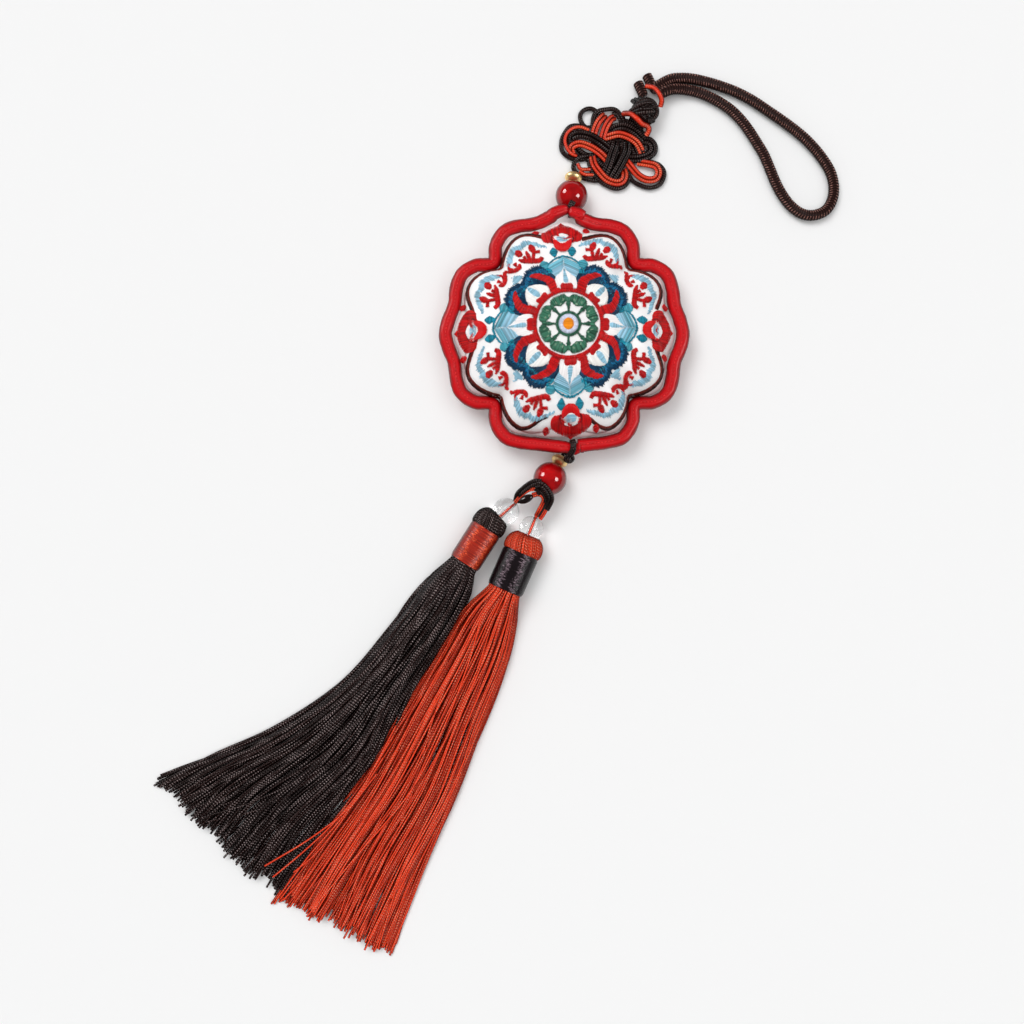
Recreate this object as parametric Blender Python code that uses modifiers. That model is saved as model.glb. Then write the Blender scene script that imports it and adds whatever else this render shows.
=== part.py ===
"""Embroidered sachet with a knotted strap, agate beads and two silk tassels, lying on its back.

Metres, +Z up. The origin is the middle of the pouch's flat back, +Y runs towards the strap, and the
surface that the sachet lies on is z = 0. The charts of the knot, the button and the skirts hold
shares of the named sizes that they follow.
"""
import math

import bmesh
import bpy
from mathutils import Vector

MM = 0.001

# Clearance that neighbouring pieces keep
GAP = 0.3 * MM

# Piping round the pouch: radii of its centre line at the tips, beside them, at the lobes and notches
TIP_RADIUS = 36.7 * MM
BOTTOM_TIP_RADIUS = 34.4 * MM
WAIST_RADIUS = 35.1 * MM
LOBE_RADIUS = 36.7 * MM
NOTCH_RADIUS = 30.9 * MM
WAIST_ANGLE = 15.0
LOBE_ANGLE = 28.0
RIM_DIAMETER = 4.2 * MM
SEAM_HEIGHT = 8.0 * MM

# Stuffed pouch
CROWN_HEIGHT = 20.0 * MM
BACK_FLAT_RADIUS = 22.0 * MM

# Embroidered plate on the pouch, from the axis to the diagonal
PLATE_NOTCH_RADIUS = 27.2 * MM
PLATE_LOBE_RADIUS = 33.0 * MM
PLATE_CORNER_RADIUS = 28.3 * MM
PLATE_LOBE_ANGLE = 25.0
PLATE_THICKNESS = 2.2 * MM
PLATE_SLOPE_WIDTH = 1.7 * MM

# Beads, each drilled for its thread
TOP_AGATE = 10.0 * MM
BOTTOM_AGATE = 10.4 * MM
SPACER_DIAMETER = 5.3 * MM
SPACER_THICKNESS = 3.0 * MM
LEFT_GLASS = 8.4 * MM
RIGHT_GLASS = 7.6 * MM
BORE_DIAMETER = 1.8 * MM
THREAD_DIAMETER = 1.2 * MM

# Cords
KNOT_WIDTH = 33.0 * MM
KNOT_CORD = 1.4 * MM
BUTTON_DIAMETER = 9.0 * MM
BUTTON_HEIGHT = 7.4 * MM
TIE_CORD = 1.4 * MM
RING_CORD = 1.6 * MM
STRAP_CORD = 3.0 * MM
FORK_CORD = 1.7 * MM

# Tassels
SKIRT_LENGTH = 115.0 * MM
SKIRT_ROOT_HEIGHT = 9.2 * MM
SKIRT_TIP_HEIGHT = 4.2 * MM
BAND_LENGTH = 12.4 * MM
BAND_WALL = 1.2 * MM
DARK_BAND_WIDTH = 10.2 * MM
ORANGE_BAND_WIDTH = 11.7 * MM
BAND_HEIGHT = 10.0 * MM
HEAD_LENGTH = 7.0 * MM
HEAD_PROUD = 0.8 * MM
LOCKS = 9

# Facets
OUTLINE_STEP = 7.5
BEAD_SIDES = 14
SMALL_SIDES = 10

AGATE_RED = (0.42, 0.004, 0.008, 1.0)
DARK_BROWN = (0.018, 0.010, 0.010, 1.0)
ORANGE = (0.62, 0.055, 0.022, 1.0)
SATIN_RED = (0.52, 0.005, 0.012, 1.0)
SATIN_WHITE = (0.86, 0.84, 0.84, 1.0)
STITCH_BLUE = (0.25, 0.46, 0.62, 1.0)
GOLD = (0.78, 0.55, 0.24, 1.0)
CLEAR_GLASS = (0.93, 0.94, 0.95, 1.0)

# Height of the pouch's top: share of the outline, share from seam to crown, how lobed the ring is
TOP_ROWS = (
    (1.000, 0.00, 1.0),
    (0.965, 0.22, 1.0),
    (0.900, 0.42, 1.0),
    (0.780, 0.63, 0.85),
    (0.500, 0.90, 0.5),
    (0.200, 1.00, 0.0),
)

# Pouch's back: share of the way from the flat to the seam, share of the seam's height, lobing
BACK_ROWS = (
    (0.00, 0.00, 0.0),
    (0.55, 0.12, 0.6),
    (0.88, 0.45, 0.9),
)

# Knot cords: name, whether one or two lie side by side, and their route in hundredths of the knot's
# width to the right and up from its middle, with 0 for the lower layer and 1 for the upper one
KNOT_CHART = (
    ("weave_a", "pair", ((-23, -7, 0), (-21, 5, 0), (-17, 17, 1), (-12, 25, 1), (-7, 31, 1),
                         (-3, 37, 0.3))),
    ("weave_b", "pair", ((-15, -9, 0), (-12, 1, 0), (-8, 11, 1), (-3, 20, 1), (3, 29, 1), (7, 35, 0.3))),
    ("weave_c", "pair", ((8, 25, 0), (7, 16, 0), (7, 7, 1), (3, -5, 1), (-2, -21, 1), (-5, -29, 0))),
    ("weave_d", "pair", ((20, 20, 0), (19, 11, 0), (18, 2, 1), (12, -10, 1), (5, -24, 1), (1, -31, 0))),
    ("weft_a", "pair", ((-14, 18, 0), (-4, 20, 0), (5, 21, 1), (15, 19, 1), (24, 14, 1), (31, 8, 0.4))),
    ("weft_b", "pair", ((-19, 8, 0), (-9, 11, 0), (-1, 12, 1), (9, 13, 1), (20, 7, 1), (29, 0, 1),
                        (34, -7, 0))),
    ("weft_c", "pair", ((-35, 10, 0.6), (-32, 14, 1), (-24, 14, 1), (-13, 9, 1), (-3, 1, 1), (6, -7, 0),
                        (15, -12, 0))),
    ("weft_d", "pair", ((-36, 1, 0.6), (-33, 5, 1), (-24, 3, 1), (-15, -2, 1), (-6, -8, 1), (2, -15, 0),
                        (9, -20, 0))),
    ("ear_a", "single", ((-20, 19, 0.4), (-25, 23, 0.4), (-29, 30, 0.4), (-26, 37, 0.4), (-19, 39, 0.4),
                         (-13, 37, 0.2))),
    ("ear_b", "single", ((-19, 21, 0.6), (-18, 31, 0.6), (-13, 37, 0.6), (-4, 39, 0.6), (5, 37, 0.6),
                         (10, 31, 0.5), (14, 22, 0.3))),
    ("ear_c", "single", ((-20, 20, 0.2), (-27, 23, 0.2), (-36, 22, 0.2), (-43, 16, 0.2), (-46, 7, 0.2),
                         (-44, -3, 0.2), (-38, -9, 0.2), (-29, -11, 0.2))),
    ("ear_d", "single", ((-19, 17, 0.8), (-29, 20, 0.8), (-37, 18, 0.8), (-42, 13, 0.8), (-43, 6, 0.8),
                         (-40, -2, 0.8), (-34, -6, 0.7), (-27, -6, 0.3))),
    ("ear_e", "single", ((-20, -4, 0.5), (-30, -9, 0.6), (-34, -13, 0.6), (-33, -18, 0.5), (-27, -22, 0.3),
                         (-20, -27, 0.2), (-12, -28, 0.1))),
    ("ear_f", "single", ((-31, -11, 0.9), (-28, -16, 0.9), (-22, -22, 0.8), (-12, -23, 0.5))),
    ("ear_g", "pair", ((-17, -5, 0.6), (-14, -15, 0.9), (-7, -25, 0.9), (1, -30, 0.9), (8, -31, 0.9),
                       (14, -27, 0.9), (14, -19, 0.4))),
    ("ear_h", "single", ((-14, -19, 0.2), (-13, -29, 0.3), (-7, -35, 0.3), (1, -38, 0.3), (9, -38, 0.3),
                         (16, -33, 0.3), (17, -24, 0.2))),
    ("ear_i", "pair", ((16, -11, 0.6), (22, -21, 0.8), (29, -27, 0.8), (37, -31, 0.8), (45, -29, 0.8),
                       (48, -23, 0.8), (44, -17, 0.8), (35, -14, 0.8), (23, -12, 0.4))),
    ("ear_j", "single", ((17, -26, 0.2), (25, -34, 0.2), (35, -37, 0.2), (43, -36, 0.2), (50, -29, 0.5))),
    ("ear_k", "pair", ((28, 10, 0.4), (38, 5, 0.5), (41, 0, 0.5), (37, -6, 0.5), (28, -9, 0.5),
                       (17, -10, 0.4))),
    ("neck_a", "pair", ((12, 14, 0), (17, 21, 0.5), (20, 25, 0.8))),
)

# Where the knot and the button knot lie, in shares of the knot's width from the piece before
KNOT_OFFSET = (0.348, 0.281)
BUTTON_OFFSET = (0.327, 0.345)

# Cords wound on the button knot: route in tenths of its half width from its middle, seen from above
BUTTON_CHART = (
    ("wrap_a", ((-9, -2), (-4, 3), (1, 4), (6, 4))),
    ("wrap_b", ((-9, -5), (-3, -1), (5, 0))),
    ("wrap_c", ((-7, -7), (-1, -4), (4, -3))),
    ("wrap_arc", ((-1, 8), (5, 6), (8, 1), (8, -3), (5, -7), (0, -9))),
)

# Piping's halves: the way round, and their ends at the top and the bottom tip, in millimetres to the
# right and up from the tip's point with the share of the piping's width there
RIM_HALVES = (
    ("rim_left", 1, ((-0.3, 1.9, 0.5), (-3.2, 0.1, 0.9)), ((-2.2, -0.3, 1.0), (0.8, -1.3, 0.5))),
    ("rim_right", -1, ((2.9, 0.7, 0.5), (4.6, -0.4, 0.9)), ((5.4, -0.5, 0.9), (3.4, -2.5, 0.4))),
)

# Upper bead's middle from the top tip, and the way from it to its spacer, seen from above
TOP_BEAD_OFFSET = (2.38 * MM, 6.54 * MM)
TOP_SPACER_WAY = (0.1, 1.0)

# Lower spacer's middle from the bottom tip, and the way from it to its bead, seen from above
BOTTOM_SPACER_OFFSET = (-1.24 * MM, -4.5 * MM)
BOTTOM_BEAD_WAY = (-0.48, -0.877)

# Ties at the tips: the upper one's route in millimetres from the agate bead's middle, the lower one's
# from the bottom tip's point at the height of the seam
TOP_TIE_ROUTE = ((-0.2, -2.9, 5.1), (-0.3, -3.7, 4.4), (-0.4, -4.5, 3.6))
BOTTOM_TIE_ROUTE = ((2.1, 2.0, 2.9), (2.1, 0.2, 2.4), (2.1, -1.5, 2.0), (2.0, -2.9, 1.2))

# Small knot at the bottom tip: its middle from the spacer's and its half sizes, in millimetres
SMALL_KNOT_OFFSET = (2.8, 0.5, 3.4)
SMALL_KNOT_HALVES = (1.8, 1.5, 1.5)

# Glass beads: name, size, middle from the lower agate bead's in millimetres, and the bore's direction
GLASS_BEADS = (
    ("glass_bead_left", LEFT_GLASS, (-13.7, -10.15), (-0.74, -0.65, -0.15)),
    ("glass_bead_right", RIGHT_GLASS, (-5.8, -15.4), (-0.387, -0.922, -0.1)),
)

# Cords that fork to the glass beads: name, width against a fork cord's, and the route in millimetres
# from the lower agate bead's middle, with a word for the mouth of a bead
FORK_CHART = (
    ("fork_root", 1.0, ("agate", (-4.0, -4.4, 4.4), (-3.5, -2.8, 5.3))),
    ("fork_left", 1.0, ((-2.9, -2.5, 5.5), (-5.3, -1.9, 4.2), (-8.0, -3.2, 2.4), "left")),
    ("fork_right", 1.0, ((-3.7, -2.2, 5.1), (-2.5, -2.7, 5.5), (-0.4, -4.6, 4.6), (0.5, -6.6, 2.6),
                         (-1.1, -9.3, 0.6))),
    ("fork_orange", 1.0, ((-5.2, -4.2, 3.6), (-3.3, -5.2, 3.2), (-2.0, -7.2, 1.8), "right")),
    ("fork_dark_bead", 1.5, ((-9.4, -5.6, 2.0), (-5.9, -3.7, 3.4))),
)

# Tassels: the way they lie, and how far past and beside the glass bead's middle their heads start
TASSEL_WAYS = {"dark_tassel": (-0.538, -0.843), "orange_tassel": (-0.402, -0.916)}
TASSEL_OFFSETS = {"dark_tassel": (0.94 * MM, 2.2 * MM), "orange_tassel": (1.31 * MM, -0.17 * MM)}

# Skirts: share of the length and how far the height has come down from the root to the tips
SKIRT_ROWS = (
    (0.00, 1.00),
    (0.10, 0.96),
    (0.25, 0.85),
    (0.45, 0.66),
    (0.65, 0.42),
    (0.85, 0.18),
    (1.00, 0.00),
)

# Left and right edges of each skirt at those shares, to the right and up from its neck, in shares of
# the skirt's length
DARK_SKIRT_EDGES = (
    ((-0.039, 0.020), (0.039, -0.020)),
    ((-0.095, -0.033), (0.008, -0.081)),
    ((-0.182, -0.144), (-0.058, -0.190)),
    ((-0.326, -0.312), (-0.162, -0.367)),
    ((-0.511, -0.437), (-0.268, -0.537)),
    ((-0.706, -0.527), (-0.411, -0.723)),
    ((-0.826, -0.587), (-0.525, -0.885)),
)
ORANGE_SKIRT_EDGES = (
    ((-0.043, 0.026), (0.043, -0.026)),
    ((-0.096, -0.047), (0.035, -0.090)),
    ((-0.167, -0.140), (0.010, -0.196)),
    ((-0.277, -0.322), (-0.052, -0.362)),
    ((-0.392, -0.508), (-0.120, -0.555)),
    ((-0.525, -0.690), (-0.218, -0.758)),
    ((-0.617, -0.820), (-0.308, -0.973)),
)

# Lengths of a skirt's locks, from left to right, against its length
LOCK_ENDS = (0.985, 1.01, 0.975, 1.0, 1.015, 0.98, 1.005, 0.97, 0.995)

# Cords beside the button knot and the strap's route over the table, from where it leaves the orange
# ring to where it comes back, in millimetres from the button knot's middle and up from the table
NECK_TIE_ROUTE = ((-6.9, -1.2, 3.4), (-5.5, -1.9, 4.1), (-4.0, -4.0, 4.3), (-2.4, -5.9, 3.9),
                  (-0.4, -6.3, 3.3), (0.3, -7.2, 2.6))
RING_ROUTE = ((0.4, 7.9, 3.6), (2.8, 7.1, 4.6), (4.3, 5.2, 5.2), (5.2, 3.2, 4.7), (4.9, 1.5, 3.7))
LEFT_END_ROUTE = ((-1.95, 9.5, 1.5), (-0.8, 7.2, 1.5), (0.2, 5.2, 1.5))
RIGHT_END_ROUTE = ((0.9, 11.9, 1.5), (1.9, 9.6, 1.5), (2.6, 7.9, 1.5))
STRAP_ROUTE = (
    (4.5, 8.6, 1.6), (7.5, 10.3, 1.5), (10.1, 10.9, 1.5), (14.4, 10.8, 1.5), (18.9, 9.9, 1.5),
    (23.7, 8.5, 1.5), (29.0, 6.5, 1.5), (34.1, 3.8, 1.5), (39.2, 0.4, 1.5), (44.4, -3.2, 1.5),
    (49.4, -7.1, 1.5), (53.1, -10.8, 1.5), (56.1, -14.6, 1.5), (58.4, -18.6, 1.5), (59.4, -23.0, 1.5),
    (58.9, -27.1, 1.5), (56.9, -30.4, 1.5), (53.4, -31.9, 1.5), (49.7, -31.6, 1.5), (46.2, -29.3, 1.5),
    (43.4, -25.8, 1.5), (41.2, -21.8, 1.5), (39.4, -17.4, 1.5), (37.5, -13.0, 1.5), (35.3, -9.3, 1.5),
    (32.8, -5.4, 1.5), (30.0, -1.8, 1.5), (26.5, 1.5, 1.5), (22.2, 4.2, 1.5), (17.5, 6.3, 1.5),
    (13.1, 7.2, 1.9), (9.3, 7.2, 2.9), (6.9, 6.5, 3.9),
)


def ease(share):
    """Smooth step from 0 to 1."""
    share = min(max(share, 0.0), 1.0)
    return share * share * (3.0 - 2.0 * share)


def off_tip(angle):
    """Degrees between a direction and the nearest of the four tips."""
    turn = angle % 90.0
    return min(turn, 90.0 - turn)


def rim_radius(angle):
    """Radius of the piping's centre line, at an angle in degrees."""
    off = off_tip(angle)
    if off <= WAIST_ANGLE:
        tip = BOTTOM_TIP_RADIUS if 225.0 < angle % 360.0 < 315.0 else TIP_RADIUS
        return tip + (WAIST_RADIUS - tip) * ease(off / WAIST_ANGLE)
    if off <= LOBE_ANGLE:
        share = (off - WAIST_ANGLE) / (LOBE_ANGLE - WAIST_ANGLE)
        return WAIST_RADIUS + (LOBE_RADIUS - WAIST_RADIUS) * ease(share)
    share = (off - LOBE_ANGLE) / (45.0 - LOBE_ANGLE)
    return LOBE_RADIUS - (LOBE_RADIUS - NOTCH_RADIUS) * (1.0 - math.cos(math.pi / 2 * share))


def plate_radius(angle):
    """Radius of the embroidered plate's lower edge, at an angle in degrees."""
    off = off_tip(angle)
    if off <= PLATE_LOBE_ANGLE:
        dip, share = PLATE_LOBE_RADIUS - PLATE_NOTCH_RADIUS, 1.0 - off / PLATE_LOBE_ANGLE
    else:
        dip = PLATE_LOBE_RADIUS - PLATE_CORNER_RADIUS
        share = (off - PLATE_LOBE_ANGLE) / (45.0 - PLATE_LOBE_ANGLE)
    return PLATE_LOBE_RADIUS - dip * (1.0 - math.cos(math.pi / 2 * share))


def inset(radius_at, angle, distance):
    """Radius of an outline moved inwards by a distance measured square to it."""
    step = 1.0
    rise = radius_at(angle + step) - radius_at(angle - step)
    slope = math.atan(rise / (2.0 * math.radians(step) * radius_at(angle)))
    return radius_at(angle) - distance / math.cos(slope)


def tip_lift(angle):
    """How far the seam rises at the top tip, so that the piping's ends lie over the agate bead."""
    away = abs((angle - 90.0 + 180.0) % 360.0 - 180.0)
    return max(TOP_AGATE - SEAM_HEIGHT, 0.0) * (1.0 - ease(away / 22.0))


def outline_angles():
    """Directions in which the outlines are sampled, the tips and the notches among them."""
    return [OUTLINE_STEP * number for number in range(round(360 / OUTLINE_STEP))]


def pouch_outline(angle):
    """Radius of the pouch's seam, inside the piping."""
    return inset(rim_radius, angle, RIM_DIAMETER / 2 + 1.5 * GAP)


def ring_radius(share, lobing, angle):
    """Radius of one of the pouch's rings: lobed at the seam and round in the middle."""
    round_radius = (LOBE_RADIUS + NOTCH_RADIUS) / 2 - RIM_DIAMETER / 2
    return share * (lobing * pouch_outline(angle) + (1.0 - lobing) * round_radius)


def top_height(share, angle):
    """Height of one of the pouch's top rings."""
    seam = SEAM_HEIGHT + tip_lift(angle) * (1.0 - share) ** 2
    return seam + (CROWN_HEIGHT - seam) * share


def pouch_top(radius, angle):
    """Height of the pouch's top surface at a radius and an angle."""
    rows = [(ring_radius(share, lobing, angle), top_height(rise, angle)) for share, rise, lobing in TOP_ROWS]
    for (outer, low), (inner, high) in zip(rows, rows[1:]):
        if radius >= inner:
            return low + (high - low) * (outer - radius) / (outer - inner)
    return rows[-1][1]


def polar(radius, angle, height):
    """Point at a radius and an angle in degrees."""
    turn = math.radians(angle)
    return Vector((radius * math.cos(turn), radius * math.sin(turn), height))


def smooth_route(points, spacing):
    """Points at an even spacing along a smooth curve through the given ones."""
    spots = [Vector(point) for point in points]
    ends = [spots[0] * 2 - spots[1]] + spots + [spots[-1] * 2 - spots[-2]]
    dense = []
    for before, start, end, after in zip(ends, ends[1:], ends[2:], ends[3:]):
        for step in range(8):
            t = step / 8.0
            slope_in = (end - before) * 0.5
            slope_out = (after - start) * 0.5
            dense.append(start * (2 * t ** 3 - 3 * t ** 2 + 1) + slope_in * (t ** 3 - 2 * t ** 2 + t)
                         + end * (3 * t ** 2 - 2 * t ** 3) + slope_out * (t ** 3 - t ** 2))
    dense.append(spots[-1])
    walked = [0.0]
    for here, there in zip(dense, dense[1:]):
        walked.append(walked[-1] + (there - here).length)
    count = max(2, round(walked[-1] / spacing))
    route, index = [], 0
    for number in range(count + 1):
        goal = walked[-1] * number / count
        while index < len(walked) - 2 and walked[index + 1] < goal:
            index += 1
        share = (goal - walked[index]) / max(walked[index + 1] - walked[index], 1e-9)
        route.append(dense[index].lerp(dense[index + 1], min(share, 1.0)))
    return route


def make_collection(name):
    """A new collection in the scene."""
    group = bpy.data.collections.new(name)
    bpy.context.scene.collection.children.link(group)
    return group


def finish(name, colour, roughness, metallic=0.0):
    """A Principled material."""
    material = bpy.data.materials.new(name)
    material.use_nodes = True
    shader = material.node_tree.nodes["Principled BSDF"]
    shader.inputs["Base Color"].default_value = colour
    shader.inputs["Roughness"].default_value = roughness
    shader.inputs["Metallic"].default_value = metallic
    return material


def add_object(name, data, material, group):
    """An object that shows the given mesh or curve."""
    thing = bpy.data.objects.new(name, data)
    group.objects.link(thing)
    data.materials.append(material)
    return thing


def move_to(thing, group):
    """Keep an object in one collection only."""
    for holder in list(thing.users_collection):
        holder.objects.unlink(thing)
    group.objects.link(thing)


def loft(name, rings, material, group, closed=False):
    """A body through rings of points: capped at both ends, or joined round like a sleeve."""
    shape = bmesh.new()
    rows = [[shape.verts.new(point) for point in ring] for ring in rings]
    pairs = list(zip(rows, rows[1:]))
    if closed:
        pairs.append((rows[-1], rows[0]))
    else:
        shape.faces.new(rows[0])
        shape.faces.new(rows[-1])
    for low, high in pairs:
        for index in range(len(low)):
            after = (index + 1) % len(low)
            shape.faces.new((low[index], low[after], high[after], high[index]))
    bmesh.ops.recalc_face_normals(shape, faces=shape.faces)
    mesh = bpy.data.meshes.new(name)
    shape.to_mesh(mesh)
    shape.free()
    mesh.shade_smooth()
    mesh.set_sharp_from_angle(angle=math.radians(40))
    return add_object(name, mesh, material, group)


def cord(name, points, diameter, material, group, sides=8, thickness=None, profile=None):
    """A cord along the points, with filled ends; a profile object makes it a flat band."""
    curve = bpy.data.curves.new(name, "CURVE")
    curve.dimensions = "3D"
    curve.twist_mode = "Z_UP"
    spline = curve.splines.new("POLY")
    spline.points.add(len(points) - 1)
    for number, (spot, place) in enumerate(zip(spline.points, points)):
        spot.co = (*place, 1.0)
        spot.radius = thickness[number] if thickness else 1.0
    if profile:
        curve.bevel_mode = "OBJECT"
        curve.bevel_object = profile
    else:
        curve.bevel_depth = diameter / 2
        curve.bevel_resolution = sides // 2 - 2
    curve.use_fill_caps = True
    return add_object(name, curve, material, group)


def as_mesh(thing):
    """The same object with its evaluated shape as a plain mesh and its caps welded."""
    bpy.context.view_layer.update()
    shown = thing.evaluated_get(bpy.context.evaluated_depsgraph_get())
    mesh = bpy.data.meshes.new_from_object(shown)
    shape = bmesh.new()
    shape.from_mesh(mesh)
    bmesh.ops.remove_doubles(shape, verts=shape.verts, dist=1e-6)
    bmesh.ops.recalc_face_normals(shape, faces=shape.faces)
    shape.to_mesh(mesh)
    shape.free()
    mesh.transform(thing.matrix_world)
    solid = bpy.data.objects.new(thing.name, mesh)
    for group in thing.users_collection:
        group.objects.link(solid)
    name = thing.name
    bpy.data.objects.remove(thing)
    solid.name = name
    return solid


def fuse(name, things, group):
    """One body out of overlapping ones, moved into the sachet's collection."""
    solids = [as_mesh(thing) for thing in things]
    base = solids[0]
    for solid in solids[1:]:
        union = base.modifiers.new("union", "BOOLEAN")
        union.operation = "UNION"
        union.solver = "EXACT"
        union.object = solid
        base = as_mesh(base)
        bpy.data.objects.remove(solid)
    move_to(base, group)
    base.name = name
    base.data.name = name
    return base


def cut(thing, cutter):
    """Cut a shape out of a body, and keep the cutter as a hidden guide."""
    cutter.hide_render = True
    cutter.display_type = "WIRE"
    difference = thing.modifiers.new("cut", "BOOLEAN")
    difference.operation = "DIFFERENCE"
    difference.solver = "EXACT"
    difference.object = cutter


def turned(name, profile, sides, place, axis, material, group):
    """A turned body about an axis, from a closed profile of (radius, height) points."""
    mesh = bpy.data.meshes.new(name)
    count = len(profile)
    edges = [(index, (index + 1) % count) for index in range(count)]
    mesh.from_pydata([(radius, 0.0, height) for radius, height in profile], edges, [])
    thing = add_object(name, mesh, material, group)
    screw = thing.modifiers.new("turn", "SCREW")
    screw.steps = sides
    screw.render_steps = sides
    screw.use_merge_vertices = True
    screw.merge_threshold = 1e-5
    screw.use_smooth_shade = True
    thing.location = place
    thing.rotation_mode = "QUATERNION"
    thing.rotation_quaternion = axis.to_track_quat("Z", "Y")
    return thing


def bead_profile(diameter, thickness, arcs):
    """Outer arc of a drilled bead, top to bottom; the closing edge is the bore's wall."""
    bore = BORE_DIAMETER / 2
    start = math.asin(bore / (diameter / 2))
    turns = [start + (math.pi - 2 * start) * step / arcs for step in range(arcs + 1)]
    return [(diameter / 2 * math.sin(turn), thickness / 2 * math.cos(turn)) for turn in turns]


def make_pouch(material, group):
    """Stuffed pouch: flat back, lobed seam inside the piping, domed top."""
    angles = outline_angles()
    rings = []
    for reach, rise, lobing in BACK_ROWS:
        ring = []
        for angle in angles:
            outline = ring_radius(1.0, lobing, angle)
            radius = BACK_FLAT_RADIUS + (outline - BACK_FLAT_RADIUS) * reach
            ring.append(polar(radius, angle, rise * (SEAM_HEIGHT + tip_lift(angle))))
        rings.append(ring)
    for share, rise, lobing in TOP_ROWS:
        rings.append([polar(ring_radius(share, lobing, angle), angle, top_height(rise, angle))
                      for angle in angles])
    return loft("pouch", rings, material, group)


def make_plate(material, group):
    """Raised embroidered plate that follows the pouch's dome, with a sloping stitched edge."""
    angles = outline_angles()
    lift = 2.0 * GAP
    rings = []
    for share, _, lobing in reversed(TOP_ROWS[3:]):
        rings.append([polar(ring_radius(share, lobing, angle), angle,
                            pouch_top(ring_radius(share, lobing, angle), angle) + lift) for angle in angles])
    share, _, lobing = TOP_ROWS[3]
    for reach in (0.5, 0.8, 1.0):
        ring = []
        for angle in angles:
            inner = ring_radius(share, lobing, angle)
            radius = inner + (plate_radius(angle) - inner) * reach
            ring.append(polar(radius, angle, pouch_top(radius, angle) + lift))
        rings.append(ring)
    for share in (1.00, 0.68, 0.35):
        ring = []
        for angle in angles:
            lobed = inset(plate_radius, angle, PLATE_SLOPE_WIDTH)
            radius = share * (share * lobed + (1.0 - share) * PLATE_NOTCH_RADIUS)
            ring.append(polar(radius, angle, pouch_top(radius, angle) + lift + PLATE_THICKNESS))
        rings.append(ring)
    return loft("embroidered_patch", rings, material, group)


def rim_route(first, steps, turn):
    """Piping's centre line from an angle on, turn giving the way round."""
    angles = [first + turn * OUTLINE_STEP * number for number in range(steps + 1)]
    return [polar(rim_radius(angle), angle, SEAM_HEIGHT + tip_lift(angle)) for angle in angles]


def make_rim(material, group):
    """Two piping halves whose tapered ends meet at the top and bottom tips."""
    top = Vector((0.0, TIP_RADIUS, SEAM_HEIGHT + tip_lift(90.0)))
    bottom = Vector((0.0, -BOTTOM_TIP_RADIUS, SEAM_HEIGHT))
    steps = round(180 / OUTLINE_STEP) - 2
    for name, turn, top_end, bottom_end in RIM_HALVES:
        first = [top + Vector((x, y, 0.0)) * MM for x, y, _ in top_end]
        last = [bottom + Vector((x, y, 0.0)) * MM for x, y, _ in bottom_end]
        route = rim_route(90.0 + turn * OUTLINE_STEP, steps, turn)
        shares = [share for _, _, share in top_end] + [1.0] * len(route)
        shares += [share for _, _, share in bottom_end]
        cord(name, first + route + last, RIM_DIAMETER, material, group, thickness=shares)


def knot_profile(cords, group):
    """Cross-section of cords that lie side by side: a flat oval."""
    curve = bpy.data.curves.new(f"profile_{cords}", "CURVE")
    curve.dimensions = "2D"
    spline = curve.splines.new("POLY")
    sides = 4 + 2 * cords
    spline.points.add(sides - 1)
    spline.use_cyclic_u = True
    for number, spot in enumerate(spline.points):
        turn = 2 * math.pi * (number + 0.5) / sides
        spot.co = (KNOT_CORD * cords / 2 * math.cos(turn), KNOT_CORD / 2 * math.sin(turn), 0.0, 1.0)
    profile = bpy.data.objects.new(f"profile_{cords}", curve)
    group.objects.link(profile)
    profile.hide_render = True
    profile.display_type = "WIRE"
    return profile


def knot_point(centre, across, up, layer):
    """Point of the knot's chart, with the cord's lower side on the table in the lower layer."""
    height = KNOT_CORD * (0.52 + 0.92 * layer)
    return centre + Vector((across, up, 0.0)) * (KNOT_WIDTH / 100) + Vector((0.0, 0.0, height))


def make_knot(centre, material, group, cutters):
    """Flat woven knot with ears, every cord fused where cords cross."""
    profiles = {"single": knot_profile(1, cutters), "pair": knot_profile(2, cutters)}
    bands = []
    for name, cords, chart in KNOT_CHART:
        route = smooth_route([knot_point(centre, *spot) for spot in chart], 2.9 * KNOT_CORD)
        bands.append(cord(name, route, KNOT_CORD, material, cutters, profile=profiles[cords]))
    return fuse("mystic_knot", bands, group)


def on_button(centre, across, up, proud):
    """Point on the button knot's upper surface, in tenths of its half width."""
    reach = min(math.hypot(across, up) / 10, 0.98)
    height = math.sqrt(1.0 - reach * reach) * BUTTON_HEIGHT / 2
    return centre + Vector((across * BUTTON_DIAMETER / 20, up * BUTTON_DIAMETER / 20, height * proud))


def make_button(centre, material, group, cutters):
    """Round button knot: a core with its wound cords fused on."""
    bpy.ops.mesh.primitive_uv_sphere_add(segments=12, ring_count=7, radius=BUTTON_DIAMETER / 2 * 0.86)
    core = bpy.context.object
    core.name = "button_core"
    core.scale = (1.0, 1.0, BUTTON_HEIGHT / BUTTON_DIAMETER)
    core.location = centre
    move_to(core, cutters)
    core.data.materials.append(material)
    parts = [core]
    for name, chart in BUTTON_CHART:
        route = smooth_route([on_button(centre, across, up, 0.84) for across, up in chart], 2.0 * KNOT_CORD)
        parts.append(cord(name, route, KNOT_CORD, material, cutters, sides=6))
    return fuse("button_knot", parts, group)


def section(middle, across, half_width, low, high, sides):
    """Ring of a flattened bundle that lies on the table: across is its sideways direction."""
    ring = []
    for number in range(sides):
        turn = 2 * math.pi * (number + 0.5) / sides
        tall = math.sin(turn) / math.cos(math.pi / sides)
        side = across * (half_width * math.cos(turn) / math.cos(math.pi / sides))
        height = low + (high - low) * (0.5 + 0.5 * max(-1.0, min(1.0, tall)))
        ring.append(Vector((middle.x + side.x, middle.y + side.y, height)))
    return ring


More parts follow.
